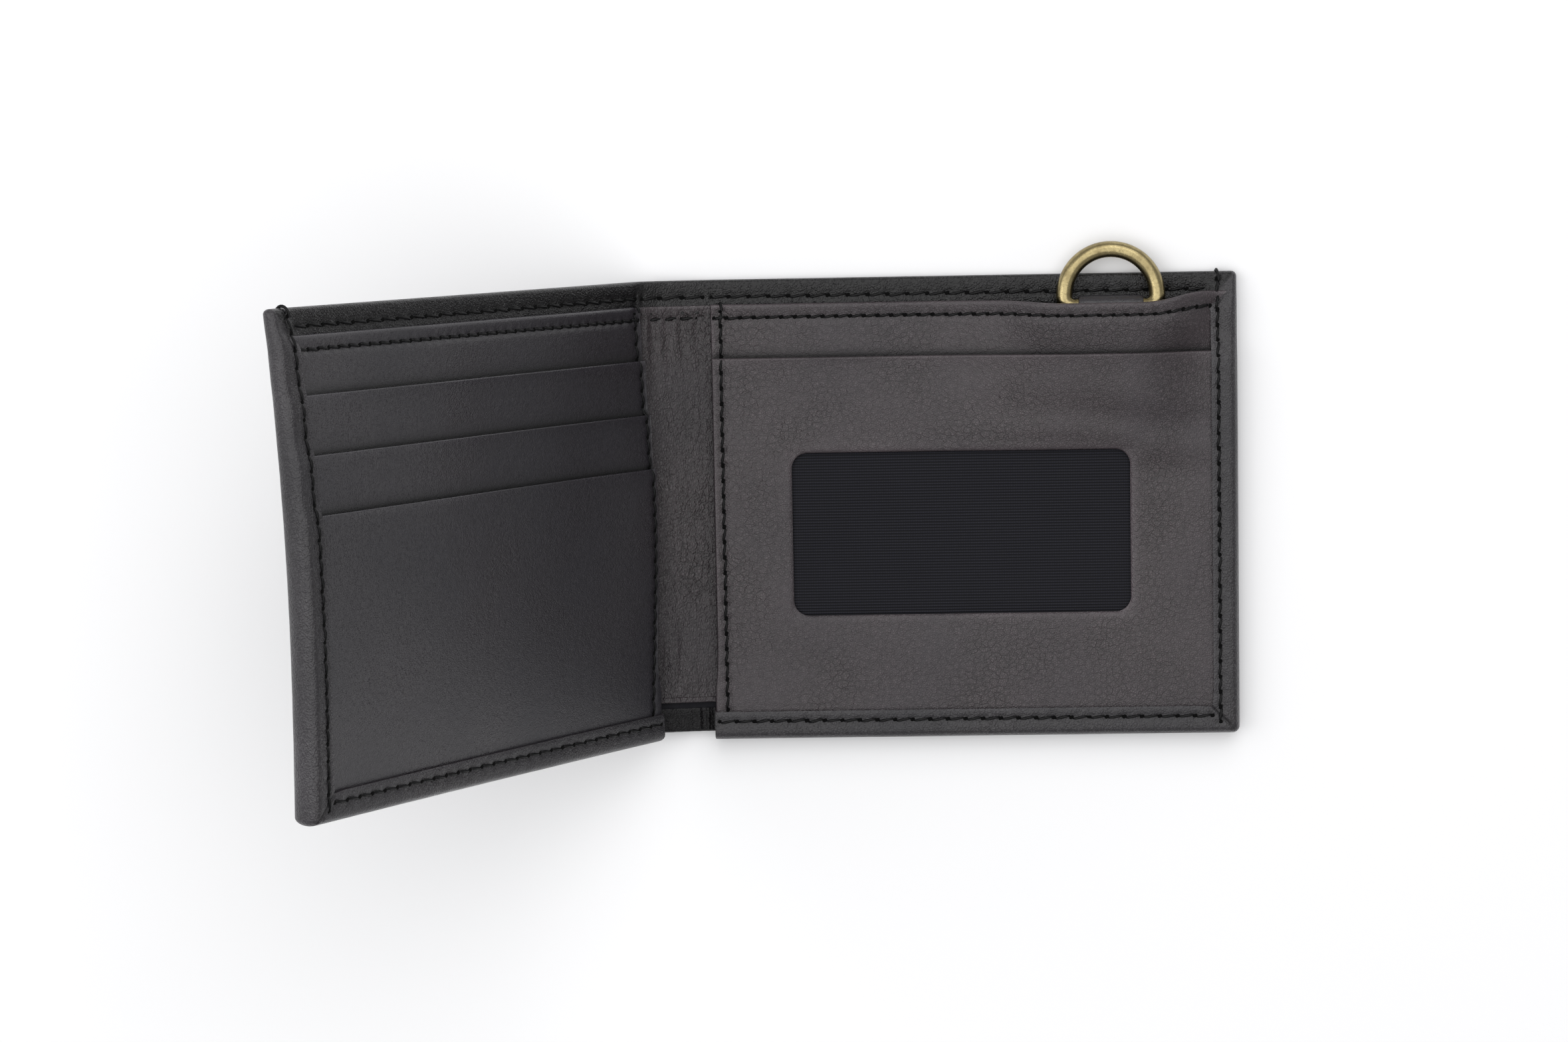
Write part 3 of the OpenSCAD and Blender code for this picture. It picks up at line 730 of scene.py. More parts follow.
def finished(made, bodies, slot, *nodes):
    """Lets a piece ride on its body, when bodies is one name; for two bodies it only bakes the piece's place
    as it lies. It hides the frame nodes that the piece stands for. slot is not used.
    """
    if isinstance(bodies, str):
        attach(made, bodies)
    else:
        start, end = ends_of_fold(0 if bodies[0] == "right_wing" else 1)
        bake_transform(made)
    if nodes:
        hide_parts(*nodes)
    return made


def ends_of_fold(which):
    """Two points on the leather, either side of the right fold (0) or the left fold (1)."""
    s = (2.0, -4.4) if which == 0 else (4.4 - L.spine_w, -2.0 - L.spine_w)
    return [tuple(place(x, 0.0, L.fold[2])) for x in s]


# ---------------------------------------------------------------- materials

def wire(tree, node, **inputs):
    """Sets up a node. A key that names an input, or is "in" and its number, sets that input, or
    links it to a socket or to the first output that a node has in use; any other key is one of
    the node's own settings."""
    for key, value in inputs.items():
        name = key.replace("_", " ").lower()
        socket = next((i for i in node.inputs if i.name.lower() == name and i.enabled), None)
        if key.startswith("in") and key[2:].isdigit():
            socket = node.inputs[int(key[2:])]
        if isinstance(value, bpy.types.Node):
            value = next(o for o in value.outputs if o.enabled)
        if socket is None:
            setattr(node, key, value)
        elif isinstance(value, bpy.types.NodeSocket):
            tree.links.new(value, socket)
        else:
            socket.default_value = value
    return node


def add(tree, kind, **inputs):
    """Adds a shader node and sets it up."""
    return wire(tree, tree.nodes.new("ShaderNode" + kind), **inputs)


def material(name):
    """An empty node material, with its shader and Object coordinates."""
    made = bpy.data.materials.new(name)
    made.use_nodes = True
    tree = made.node_tree
    return made, tree, tree.nodes["Principled BSDF"], add(tree, "TexCoord").outputs["Object"]


def scaled(colour, by):
    """A colour made lighter or darker."""
    return tuple(min(c * by, 1.0) for c in colour[:3]) + (1.0,)


def leather(name, colour, grain_mm, depth_mm, roughness, crease=0.05, light=1.8, broad_mm=0.10, gloss=0.3,
            upright=1.0, marks=0.9):
    """Full-grain leather, dyed through and waxed: pebbles of about half a millimetre parted by fine creases,
    some longer folds across them, uneven dye that runs from cool to warm, and edges rubbed lighter and
    smoother. The creases and folds are also painted darker in the colour, a painted shade, by the share
    marks; light specks are painted highlights on the grain; and where the edge attribute runs below 0, in
    seams and gaps, the colour is painted darker and duller as shade. upright below 1 draws the pebbles out up
    the wallet."""
    made, tree, shader, here = material(name)
    stir = add(tree, "TexNoise", Vector=here, Scale=1 / (1.2 * MM), Detail=3.0)
    centred = add(tree, "VectorMath", operation="SUBTRACT", in0=stir.outputs["Color"], in1=(0.5,) * 3)
    moved = add(tree, "VectorMath", operation="MULTIPLY_ADD", in0=centred, in1=(0.5 * MM,) * 3, in2=here)
    drawn = add(tree, "VectorMath", operation="MULTIPLY", in0=moved, in1=(1.0, upright, 1.0))
    pebbles = add(tree, "TexVoronoi", feature="DISTANCE_TO_EDGE", Vector=drawn, Scale=1 / (grain_mm * MM))
    dome = add(tree, "MapRange", interpolation_type="SMOOTHSTEP", Value=pebbles, in1=0.0, in2=0.34)
    crack = add(tree, "MapRange", Value=pebbles, in1=0.02, in2=0.17, in3=1.0, in4=0.0)
    where = add(tree, "TexNoise", Vector=here, Scale=1 / (11 * MM), Detail=1.5)
    patchy = add(tree, "MapRange", Value=where, in1=0.3, in2=0.7, in3=0.6, in4=1.0)
    lines_of = add(tree, "Math", operation="MULTIPLY", in0=crack, in1=patchy)
    wide = add(tree, "VectorMath", operation="MULTIPLY_ADD", in0=centred, in1=(1.0 * MM,) * 3, in2=drawn)
    net = add(tree, "TexVoronoi", feature="DISTANCE_TO_EDGE", Vector=wide, Scale=1 / (1.3 * MM))
    gap = add(tree, "MapRange", Value=net, in1=0.0, in2=0.14, in3=1.0, in4=0.0)
    rare = add(tree, "MapRange", Value=where, in1=0.34, in2=0.66, in3=0.35, in4=0.8)
    long_of = add(tree, "Math", operation="MULTIPLY", in0=gap, in1=rare)
    folds = add(tree, "TexNoise", Vector=drawn, Scale=1 / (2.6 * MM), Detail=5.0, Roughness=0.65)
    fine = add(tree, "Bump", Strength=1.0, Distance=depth_mm * MM, Height=dome)
    middle = add(tree, "Bump", Strength=1.0, Distance=crease * MM, Height=long_of, Normal=fine, invert=True)
    broad = add(tree, "Bump", Strength=1.0, Distance=broad_mm * MM, Height=folds, Normal=middle)
    dye = add(tree, "TexNoise", Vector=here, Scale=1 / (22 * MM), Detail=4.0, Roughness=0.55)
    patch = add(tree, "MapRange", Value=dye, in1=0.34, in2=0.66)
    # the edge attribute: rubbed wear where it is above 0, painted shade in seams and gaps where it is below 0
    worn = add(tree, "Attribute", attribute_name="edge")
    high = add(tree, "Math", operation="MAXIMUM", in0=worn.outputs["Fac"], in1=0.0)
    rub = add(tree, "Math", operation="MULTIPLY", in0=high, in1=patch)
    # painted shade: the crease and fold lines are darkened in the colour by the share marks
    both = add(tree, "Math", operation="MAXIMUM", in0=lines_of, in1=long_of)
    dark = add(tree, "Math", operation="MULTIPLY", in0=both, in1=marks)
    # painted highlight: light specks on the grain, lightening the colour
    speck = add(tree, "TexNoise", Vector=here, Scale=1 / (0.7 * MM), Detail=3.0, Roughness=0.7)
    speck_highlights = add(tree, "MapRange", Value=speck, in1=0.42, in2=0.68, in3=0.0, in4=0.7)
    # painted shade: where the edge attribute runs below 0, in seams and gaps, the colour is darkened and the
    # roughness raised
    low = add(tree, "MapRange", Value=worn.outputs["Fac"], in1=0.0, in2=-0.8)
    tints = (0.88, 0.90, 0.94), (1.13, 1.08, 1.06)
    cool, warm = (tuple(c * k for c, k in zip(colour, tint)) + (1.0,) for tint in tints)
    base = add(tree, "Mix", data_type="RGBA", in0=patch, in6=cool, in7=warm)
    base = add(tree, "Mix", data_type="RGBA", in0=speck_highlights, in6=base, in7=scaled(colour, 1.55))
    base = add(tree, "Mix", data_type="RGBA", in0=dark, in6=base, in7=scaled(colour, 0.12))
    rubbed = add(tree, "Mix", data_type="RGBA", in0=rub, in6=base, in7=scaled(colour, light))
    base = add(tree, "Mix", data_type="RGBA", in0=low, in6=rubbed, in7=scaled(colour, 0.16))
    rough = add(tree, "MapRange", Value=patch, in3=roughness + 0.06, in4=roughness - 0.05)
    dull = add(tree, "Math", operation="MULTIPLY_ADD", in0=low, in1=0.25, in2=rough)
    smooth = add(tree, "Math", operation="MULTIPLY_ADD", in0=rub, in1=-0.10, in2=dull)
    wire(tree, shader, Base_Color=base, Roughness=smooth, Normal=broad)
    shader.inputs["Specular IOR Level"].default_value = gloss
    return made


def raw_edge(name, colour):
    """Cut leather edge, dyed and rubbed with wax: fibrous in bands along the cut, and matt."""
    made, tree, shader, here = material(name)
    fibre = add(tree, "TexNoise", Vector=here, Scale=1 / (0.35 * MM), Detail=4.0, Roughness=0.7)
    base = add(tree, "Mix", data_type="RGBA", in0=fibre, in6=scaled(colour, 0.5), in7=scaled(colour, 1.35))
    wire(tree, shader, Base_Color=base)
    wire(tree, shader, Normal=add(tree, "Bump", Strength=0.8, Distance=0.08 * MM, Height=fibre))
    shader.inputs["Roughness"].default_value = 0.62
    shader.inputs["Specular IOR Level"].default_value = 0.35
    return made


def woven(name, colour, across_mm, up_mm, roughness=0.75, contrast=0.3):
    """Plain woven polyester, dyed black: warp and weft threads at a real pitch, so that the cloth has a faint
    square tooth, or ribs where the weft is thick; its thread tops are painted lighter and the dips between
    them darker, a painted highlight and shade."""
    made, tree, shader, here = material(name)
    lay = add(tree, "UVMap", uv_map="lay")
    warp = add(tree, "TexWave", bands_direction="X", Vector=lay, Scale=math.pi / 10 / across_mm,
               Distortion=1.6, Detail=2.0, Detail_Scale=3.0)
    weft = add(tree, "TexWave", bands_direction="Y", Vector=lay, Scale=math.pi / 10 / up_mm, Distortion=0.25,
               Detail=1.0)
    teeth = add(tree, "MapRange", Value=warp.outputs["Fac"], in3=0.45, in4=1.0)
    cross = add(tree, "Math", operation="MULTIPLY", in0=teeth, in1=weft.outputs["Fac"])
    cloud = add(tree, "TexNoise", Vector=here, Scale=1 / (0.8 * MM), Detail=4.0, Roughness=0.7)
    # painted highlight and shade: thread tops lighter, dips darker
    base = add(tree, "Mix", data_type="RGBA", in0=cross, in6=scaled(colour, 1 - contrast),
               in7=scaled(colour, 1 + contrast * 1.6))
    faded = add(tree, "Math", operation="MULTIPLY", in0=cloud, in1=0.5)
    base = add(tree, "Mix", data_type="RGBA", in0=faded, in6=base, in7=scaled(colour, 1 - 0.6 * contrast))
    wire(tree, shader, Base_Color=base)
    wire(tree, shader, Normal=add(tree, "Bump", Strength=0.7, Distance=0.05 * MM, Height=cross))
    shader.inputs["Roughness"].default_value = roughness
    shader.inputs["Specular IOR Level"].default_value = 0.15
    return made


def waxed_thread(name, colour):
    """Braided polyester thread soaked in wax: near black, with a greasy shine on its strands; where the edge
    attribute is 1, at the mouths of the holes, it is painted black and matt as shade."""
    made, tree, shader, here = material(name)
    strand = add(tree, "TexNoise", Vector=here, Scale=1 / (0.16 * MM), Detail=2.0)
    base = add(tree, "Mix", data_type="RGBA", in0=strand, in6=scaled(colour, 0.6), in7=scaled(colour, 1.5))
    hole = add(tree, "Attribute", attribute_name="edge")
    # painted shade: the hole lenses are mixed to black
    wire(tree, shader, Base_Color=add(tree, "Mix", data_type="RGBA", in0=hole.outputs["Fac"], in6=base,
                                      in7=scaled(colour, 0.1)))
    wire(tree, shader, Normal=add(tree, "Bump", Strength=0.5, Distance=0.05 * MM, Height=strand))
    wire(tree, shader, Roughness=add(tree, "MapRange", Value=hole.outputs["Fac"], in3=0.42, in4=1.0))
    shader.inputs["Specular IOR Level"].default_value = 0.2
    return made


def aged_brass(name, brass, patina):
    """Bent brass wire, brushed lengthwise and left to tarnish: gold where it is rubbed, olive
    brown in between, with fine scratches and blurred highlights."""
    made, tree, shader, here = material(name)
    cloud = add(tree, "TexNoise", Vector=here, Scale=1 / (2.4 * MM), Detail=6.0, Roughness=0.68)
    speck = add(tree, "TexNoise", Vector=here, Scale=1 / (0.35 * MM), Detail=3.0, Roughness=0.6)
    tarnish = add(tree, "MapRange", Value=cloud, in1=0.42, in2=0.78)
    spots = add(tree, "MapRange", Value=speck, in1=0.52, in2=0.7)
    both = add(tree, "Math", operation="MAXIMUM", in0=tarnish,
               in1=add(tree, "Math", operation="MULTIPLY", in0=spots, in1=0.6))
    wire(tree, shader, Base_Color=add(tree, "Mix", data_type="RGBA", in0=both, in6=brass, in7=patina))
    rough = add(tree, "MapRange", Value=both, in3=0.24, in4=0.38)
    wire(tree, shader, Roughness=rough)
    wire(tree, shader, Normal=add(tree, "Bump", Strength=0.25, Distance=0.05 * MM, Height=speck))
    shader.inputs["Metallic"].default_value = 1.0
    return made


FINISHES = {}


def finish_of(name):
    """One of the wallet's finishes, made when it is first asked for."""
    c = colours()
    makers = {
        # full-grain cowhide, drum dyed black: pebbled, with a low waxy sheen
        "outer": lambda: leather("pebbled_black_leather", c.outer, 0.52, 0.045, 0.36, gloss=0.46, marks=0.6),
        # the same hide in charcoal, pressed flatter
        "panel": lambda: leather("charcoal_panel_leather", c.panel, 0.40, 0.035, 0.36, crease=0.05,
                                 gloss=0.46),
        # the outer hide where it is turned in at the mouth: the outer colour painted darker as shade, a
        # shaded copy, and glossy where it is gathered
        "mouth": lambda: leather("shaded_mouth_leather", scaled(c.outer, 0.22), 0.50, 0.05, 0.28, gloss=0.36),
        # the outer hide where it is turned in at the foot of the spine: the outer colour painted darker as
        # shade, a shaded copy, and matt
        "turned": lambda: leather("unpolished_black_leather", scaled(c.outer, 0.25), 0.52, 0.05, 0.40,
                                  gloss=0.2),
        # thinner, smoother hide of the card pockets
        "pocket": lambda: leather("smooth_pocket_leather", c.pocket, 0.40, 0.018, 0.30, crease=0.02,
                                  broad_mm=0.05, gloss=0.55, marks=0.35),
        # soft hide over the spine, creased by opening and closing
        "spine": lambda: leather("creased_spine_leather", scaled(c.panel, 0.75), 0.42, 0.05, 0.36,
                                 crease=0.08, broad_mm=0.16, gloss=0.42, upright=0.5),
        "cut": lambda: raw_edge("waxed_cut_edge", c.panel),
        "lining": lambda: woven("note_pocket_cloth", c.lining, 0.25, 0.25),
        "fabric": lambda: woven("ribbed_window_cloth", c.fabric, 0.46, sizes().rib, 0.6, 0.75),
        "thread": lambda: waxed_thread("waxed_black_thread", c.thread),
        "brass": lambda: aged_brass("tarnished_brass", c.brass, c.patina),
    }
    if name not in FINISHES:
        FINISHES[name] = makers[name]()
    return FINISHES[name]


# ---------------------------------------------------------------- operators

class WalletPiece:
    """What the wallet's operators share."""
    bl_options = {"REGISTER", "UNDO"}


class WALLET_OT_outer_leather(WalletPiece, bpy.types.Operator):
    """Makes the outer leather with its turned hems, one skin for each wing and half of the spine"""
    bl_idname = "wallet.outer_leather"
    bl_label = "Outer leather"

    def execute(self, context):
        # painted shade: the third and fourth finishes are shaded copies of the outer leather
        skins = [finish_of("outer"), finish_of("cut"), finish_of("turned"), finish_of("mouth")]
        finished(outer_leather(RIGHT, "outer_leather_right", skins), ("right_wing", "spine"), "outer_leather",
                 "outer_shell_right", "outer_shell_spine")
        finished(outer_leather(LEFT, "outer_leather_left", skins), ("spine", "left_wing"), "outer_leather",
                 "outer_shell_left")
        return {"FINISHED"}


class WALLET_OT_note_lining(WalletPiece, bpy.types.Operator):
    """Makes the note pocket's woven lining, one sheet for each wing and half of the spine"""
    bl_idname = "wallet.note_lining"
    bl_label = "Note lining"

    def execute(self, context):
        low, high = L.lining_h
        start, stop = -L.spine_w / 2, L.wing_w - 1.6
        for side, name, bodies, nodes in (
                (RIGHT, "note_lining_right", ("right_wing", "spine"),
                 ("note_lining_right", "note_lining_spine")),
                (LEFT, "note_lining_left", ("spine", "left_wing"), ("note_lining_left",))):
            ends = sorted((across(side, start), across(side, stop)))

            def top(u, v):
                return high - 0.2 * ease((1.5 - u) / 3) + 0.08 * waves(u, v, 14, 31)

            made = sheet(name + "_cloth", side, lines(*ends, 2.0, [(-15, 3, 0.5)]),
                         lines(L.spine_bottom + 0.8, L.turned, 2.0, [(36, 39, 0.3)]),
                         top, lambda u, v: np.full_like(u, low), [finish_of("lining")],
                         radius=0.3, butt=("s-",) if side == RIGHT else ("s+",))
            finished(made, bodies, "note_lining", *nodes)
        return {"FINISHED"}


class WALLET_OT_inner_panels(WalletPiece, bpy.types.Operator):
    """Makes the inner panel of each wing, the right one raised over the ring's tab"""
    bl_idname = "wallet.inner_panels"
    bl_label = "Inner panels"

    def execute(self, context):
        at, runs = seams(), seam_runs()
        for side, name, node, body, finish in (
                (RIGHT, "inner_leather_right", "inner_panel_right", "right_wing", "panel"),
                (LEFT, "inner_leather_left", "inner_panel_left", "left_wing", "pocket")):
            ends = sorted((across(side, L.layer), across(side, L.wing_w - TUCK)))

            def near(u, v):
                return (trough(u - runs["panel"][0], v - at.panel, runs["panel"][2])
                        + trough(v - runs["fold"][0], u - at.fold, runs["fold"][2]))

            def top(u, v):
                roll = 0.14 * np.exp(-((L.mouth - v - 0.7) / 0.6) ** 2)
                wrinkle = 0.10 * waves(u * 1.3 - v * 0.9, v * 0.4, 5, 43) * bulge(side, u, v) / 4.0
                return L.panel_h[1] + stack(side, u, v) + bulge(side, u, v) - near(u, v) + roll + wrinkle

            def bottom(u, v):
                return L.panel_h[0] + stack(side, u, v) + bulge(side, u, v)

            rows = [(L.slot - 3, L.mouth, 0.45), (L.slot - 0.9, L.slot + 1.5, 0.2),
                    (at.panel - 1.2, at.panel + 1.2, 0.2), (L.mouth - 0.8, L.mouth, 0.1)]
            made = sheet(name, side, lines(*ends, 0.75, [(ends[0], ends[0] + 0.6, 0.1),
                                                         (ends[1] - 0.6, ends[1], 0.1)]),
                         lines(L.bottom + TUCK, L.mouth, 1.6, rows), top, bottom,
                         [finish_of(finish), finish_of("cut")], radius=0.42,
                         cut=("s-",) if side == RIGHT else ("s+",), shift=lambda u, v: -dip(side, u, v),
                         painted_shade=lambda u, v: SEAM_SHADE * near(u, v) + shade_over(v, L.slot))
            finished(made, body, "panel_leather" if side == RIGHT else "pocket_leather", node)
        return {"FINISHED"}


class WALLET_OT_window(WalletPiece, bpy.types.Operator):
    """Makes the window panel of the right wing and the ribbed cloth behind it"""
    bl_idname = "wallet.window"
    bl_label = "Window panel and ribbed cloth"

    def execute(self, context):
        n, at, runs = sizes(), seams(), seam_runs()
        s0, v1 = n.window_x, L.slot - n.window_y
        s1, v0 = s0 + n.window_w, v1 - n.window_h
        r, close = n.window_r, 0.11

        def near(s, v):
            return trough(v - runs["fold"][0], s - at.fold, runs["fold"][2])

        def top(s, v):
            gap = np.maximum(np.maximum(s0 - s, s - s1), np.maximum(v0 - v, v - v1))
            roll = 0.10 * np.exp(-((gap - 0.9) / 0.6) ** 2) + lip(s, v, L.slot) * 0.8
            sag, pull = 0.25 * np.exp(-np.maximum(gap, 0) / 1.2), drag(s, v) * ease((gap + 0.2) / 5)
            return L.window_h[1] + stack(RIGHT, s, v) - near(s, v) + roll - sag + pull

        columns = [(L.layer, L.layer + 0.6, close), (at.fold - 1.2, at.fold + 1.2, 0.25),
                   (s0 - 0.8, s0 + r, 0.2), (s1 - r, s1 + 0.8, 0.2)]
        rows = [(v0 - 0.8, v0 + r, 0.2), (v1 - r, v1 + 0.8, 0.2), (L.slot - 0.9, L.slot, close)]
        made = sheet("window_leather", RIGHT, lines(L.layer + 0.08, L.wing_w - TUCK, 0.8, columns),
                     lines(L.bottom + TUCK, L.slot, 0.75, rows),
                     top, lambda s, v: L.window_h[0] + stack(RIGHT, s, v), [finish_of("panel"),
                                                                            finish_of("cut")],
                     radius=0.38, hole=(s0, s1, v0, v1, r), cut=("s-",), painted_shade=lambda s, v: SEAM_SHADE * near(s, v))
        finished(made, "right_wing", "panel_leather", "window_panel")

        def ribs(s, v):
            cord = np.abs(np.sin(math.pi * v / n.rib + 0.12 * waves(s, v, 13, 61))) ** 0.7
            return L.fabric_h[0] + 0.36 + 0.14 * cord + stack(RIGHT, s, v) + 0.05 * waves(s, v, 11, 62)

        cloth = sheet("ribbed_cloth", RIGHT, lines(s0 - 4, s1 + 4, 1.6), lines(v0 - 4, v1 + 4, n.rib / 6),
                      ribs,
                      lambda s, v: L.fabric_h[0] + stack(RIGHT, s, v), [finish_of("fabric")], radius=0.4)
        finished(cloth, "right_wing", "ribbed_fabric", "id_fabric")
        return {"FINISHED"}


class WALLET_OT_card_pockets(WalletPiece, bpy.types.Operator):
    """Makes the three stepped card pockets of the left wing"""
    bl_idname = "wallet.card_pockets"
    bl_label = "Card pockets"

    def execute(self, context):
        at, (start, _, pitch) = seams(), seam_runs()["fold"]

        def near(u, v):
            return trough(v - start, u - at.fold, pitch)

        for i, (name, slot, (low, high)) in enumerate(zip(("back", "middle", "front"), L.slots,
                                                          pocket_heights())):
            s0, s1 = sorted((across(LEFT, L.layer + 0.12 * (i % 2)), across(LEFT, L.wing_w - TUCK)))
            ahead = L.slots[i + 1] if i < 2 else L.bottom - 9

            def top(u, v):
                return high + stack(LEFT, u, v) - near(u, v) + lip(u, v, slot)

            def bottom(u, v):
                return low + stack(LEFT, u, v) + lip(u, v, slot) * 0.9

            rows = [(slot - 2.4, slot, 0.25), (slot - 0.6, slot, 0.09), (ahead - 0.9, ahead + 1.5, 0.2)]
            made = sheet("card_leather_" + name, LEFT, lines(s0, s1, 0.9, [(s1 - 0.6, s1, 0.1),
                                                                           (s1 - 3.6, s1 - 1.2, 0.25)]),
                         lines(L.bottom + TUCK, slot, 0.8, rows), top, bottom,
                         [finish_of("pocket"), finish_of("cut")], radius=0.3, cut=("s+",),
                         painted_shade=lambda u, v: SEAM_SHADE * near(u, v) + shade_over(v, ahead))
            finished(made, "left_wing", "pocket_leather", "card_pocket_" + name)
        return {"FINISHED"}


class WALLET_OT_spine_panel(WalletPiece, bpy.types.Operator):
    """Makes the soft leather over the spine, pleated under its top seam, in two halves"""
    bl_idname = "wallet.spine_panel"
    bl_label = "Spine panel"

    def execute(self, context):
        at = seams()
        low_v = L.spine_panel_v

        def folds(s, v):
            x = s + L.spine_w / 2
            pleat = (np.sin(x * 2.4 + 0.5 * np.sin(v / 5)) * np.exp(-((L.mouth - 4.5 - v) / 7.0) ** 2)
                     * (v < at.panel + 1.5))
            wrinkle = (np.sin(x * 3.3 + 1.4 * np.sin(v / 11 + 0.6) + 0.5 * np.sin(v / 3.7))
                       * (0.6 + 0.4 * np.sin(v / 8 + x)))
            shade = ease((v - low_v) / 4)
            foot = sum(np.exp(-((x - at_x - 1.3 * np.sin((v - low_v) / 7)) / 0.55) ** 2)
                       * np.exp(-((v - low_v - at_v) / 5.5) ** 2)
                       for at_x, at_v in ((-3.4, 7.0), (-0.6, 9.5)))
            slow = 0.10 * waves(x, v * 0.35, 6, 71)
            return (0.17 * pleat + 0.015 * wrinkle * shade - 0.30 * foot + slow) * ease((7.2 - np.abs(x)) / 2)

        def near(s, v):
            return trough(s + L.spine_w / 2, v - at.panel, seam_runs()["panel"][2])

        def top(s, v):
            band = 0.32 * ease((low_v + 1.25 - v) / 0.3)
            roll = 0.12 * np.exp(-((L.mouth - v - 0.6) / 0.5) ** 2)
            return FOLDED + folds(s, v) + band - near(s, v) + roll

        def bottom(s, v):
            return 1.45 + folds(s, v)

        for name, s0, s1, bodies, nodes in (
                ("spine_leather_right", -L.spine_w / 2, OVERLAP, ("right_wing", "spine"),
                 ("inner_panel_spine",)),
                ("spine_leather_left", -L.spine_w - OVERLAP, -L.spine_w / 2, ("spine", "left_wing"), ())):
            rows = [(low_v, low_v + 1.6, 0.12), (at.panel - 6, at.panel + 1.2, 0.25),
                    (L.mouth - 0.8, L.mouth, 0.1)]
            made = sheet(name, RIGHT, lines(s0, s1, 0.22), lines(low_v, L.mouth - 0.1, 0.8, rows),
                         top, bottom, [finish_of("spine")], radius=0.25,
                         butt=("s-",) if s1 > 0 else ("s+",), painted_shade=lambda s, v: SEAM_SHADE * near(s, v))
            finished(made, bodies, "pocket_leather", *nodes)
        return {"FINISHED"}


class WALLET_OT_ring(WalletPiece, bpy.types.Operator):
    """Makes the tab that holds the D-ring and gives the ring its brass"""
    bl_idname = "wallet.ring"
    bl_label = "Ring and tab"

    def execute(self, context):
        low, high = L.tab
        thick = 0.6
        loop = (high[2] - low[2]) / 2
        bar_v, bar_h = L.ring[1], (high[2] + low[2]) / 2
        mid = loop - thick / 2
        foot = np.linspace(low[1], bar_v, 9)[:-1]
        turn = np.linspace(-math.pi / 2, math.pi / 2, 17)
        tail = np.linspace(bar_v, bar_v - 2.0, 5)[1:]
        path_v = np.concatenate([foot, bar_v + mid * np.cos(turn), tail])
        path_h = np.concatenate([np.full(foot.shape, bar_h - mid), bar_h + mid * np.sin(turn),
                                 np.full(tail.shape, bar_h + mid)])
        way = np.stack([np.gradient(path_v), np.gradient(path_h)], -1)
        way /= np.linalg.norm(way, axis=1)[:, None]
        ring = np.linspace(0, 2 * math.pi, 41)
        wide = (high[0] - low[0]) / 2
        across_w = wide * np.sign(np.cos(ring)) * np.abs(np.cos(ring)) ** 0.35
        out = thick / 2 * np.sign(np.sin(ring)) * np.abs(np.sin(ring)) ** 0.6
        end = quarter(np.minimum(np.arange(len(path_v)), np.arange(len(path_v))[::-1]) + 0.0, 1.0)[:, None]
        u = L.ring[0] - L.fold[0] + across_w[None, :] * (0.97 + 0.03 * end)
        v = path_v[:, None] + out[None, :] * end * way[:, 1:2]
        h = path_h[:, None] - out[None, :] * end * way[:, 0:1]
        uv = np.stack([u, path_v[:, None] + path_h[:, None] + 0 * u], -1)
        made = build("ring_tab_leather", place(u, v, h), grid_quads(numbered(u.shape)), [finish_of("pocket")],
                     uv, merge=1e-6, outwards=True)
        finished(made, "right_wing", "panel_leather", "ring_tab")
        ring_node = frame["nodes"]["d_ring"]
        brass = finish_of("brass")
        if not ring_node.material_slots:
            ring_node.data.materials.append(brass)
        for place_of in ring_node.material_slots:
            place_of.material = brass
        return {"FINISHED"}


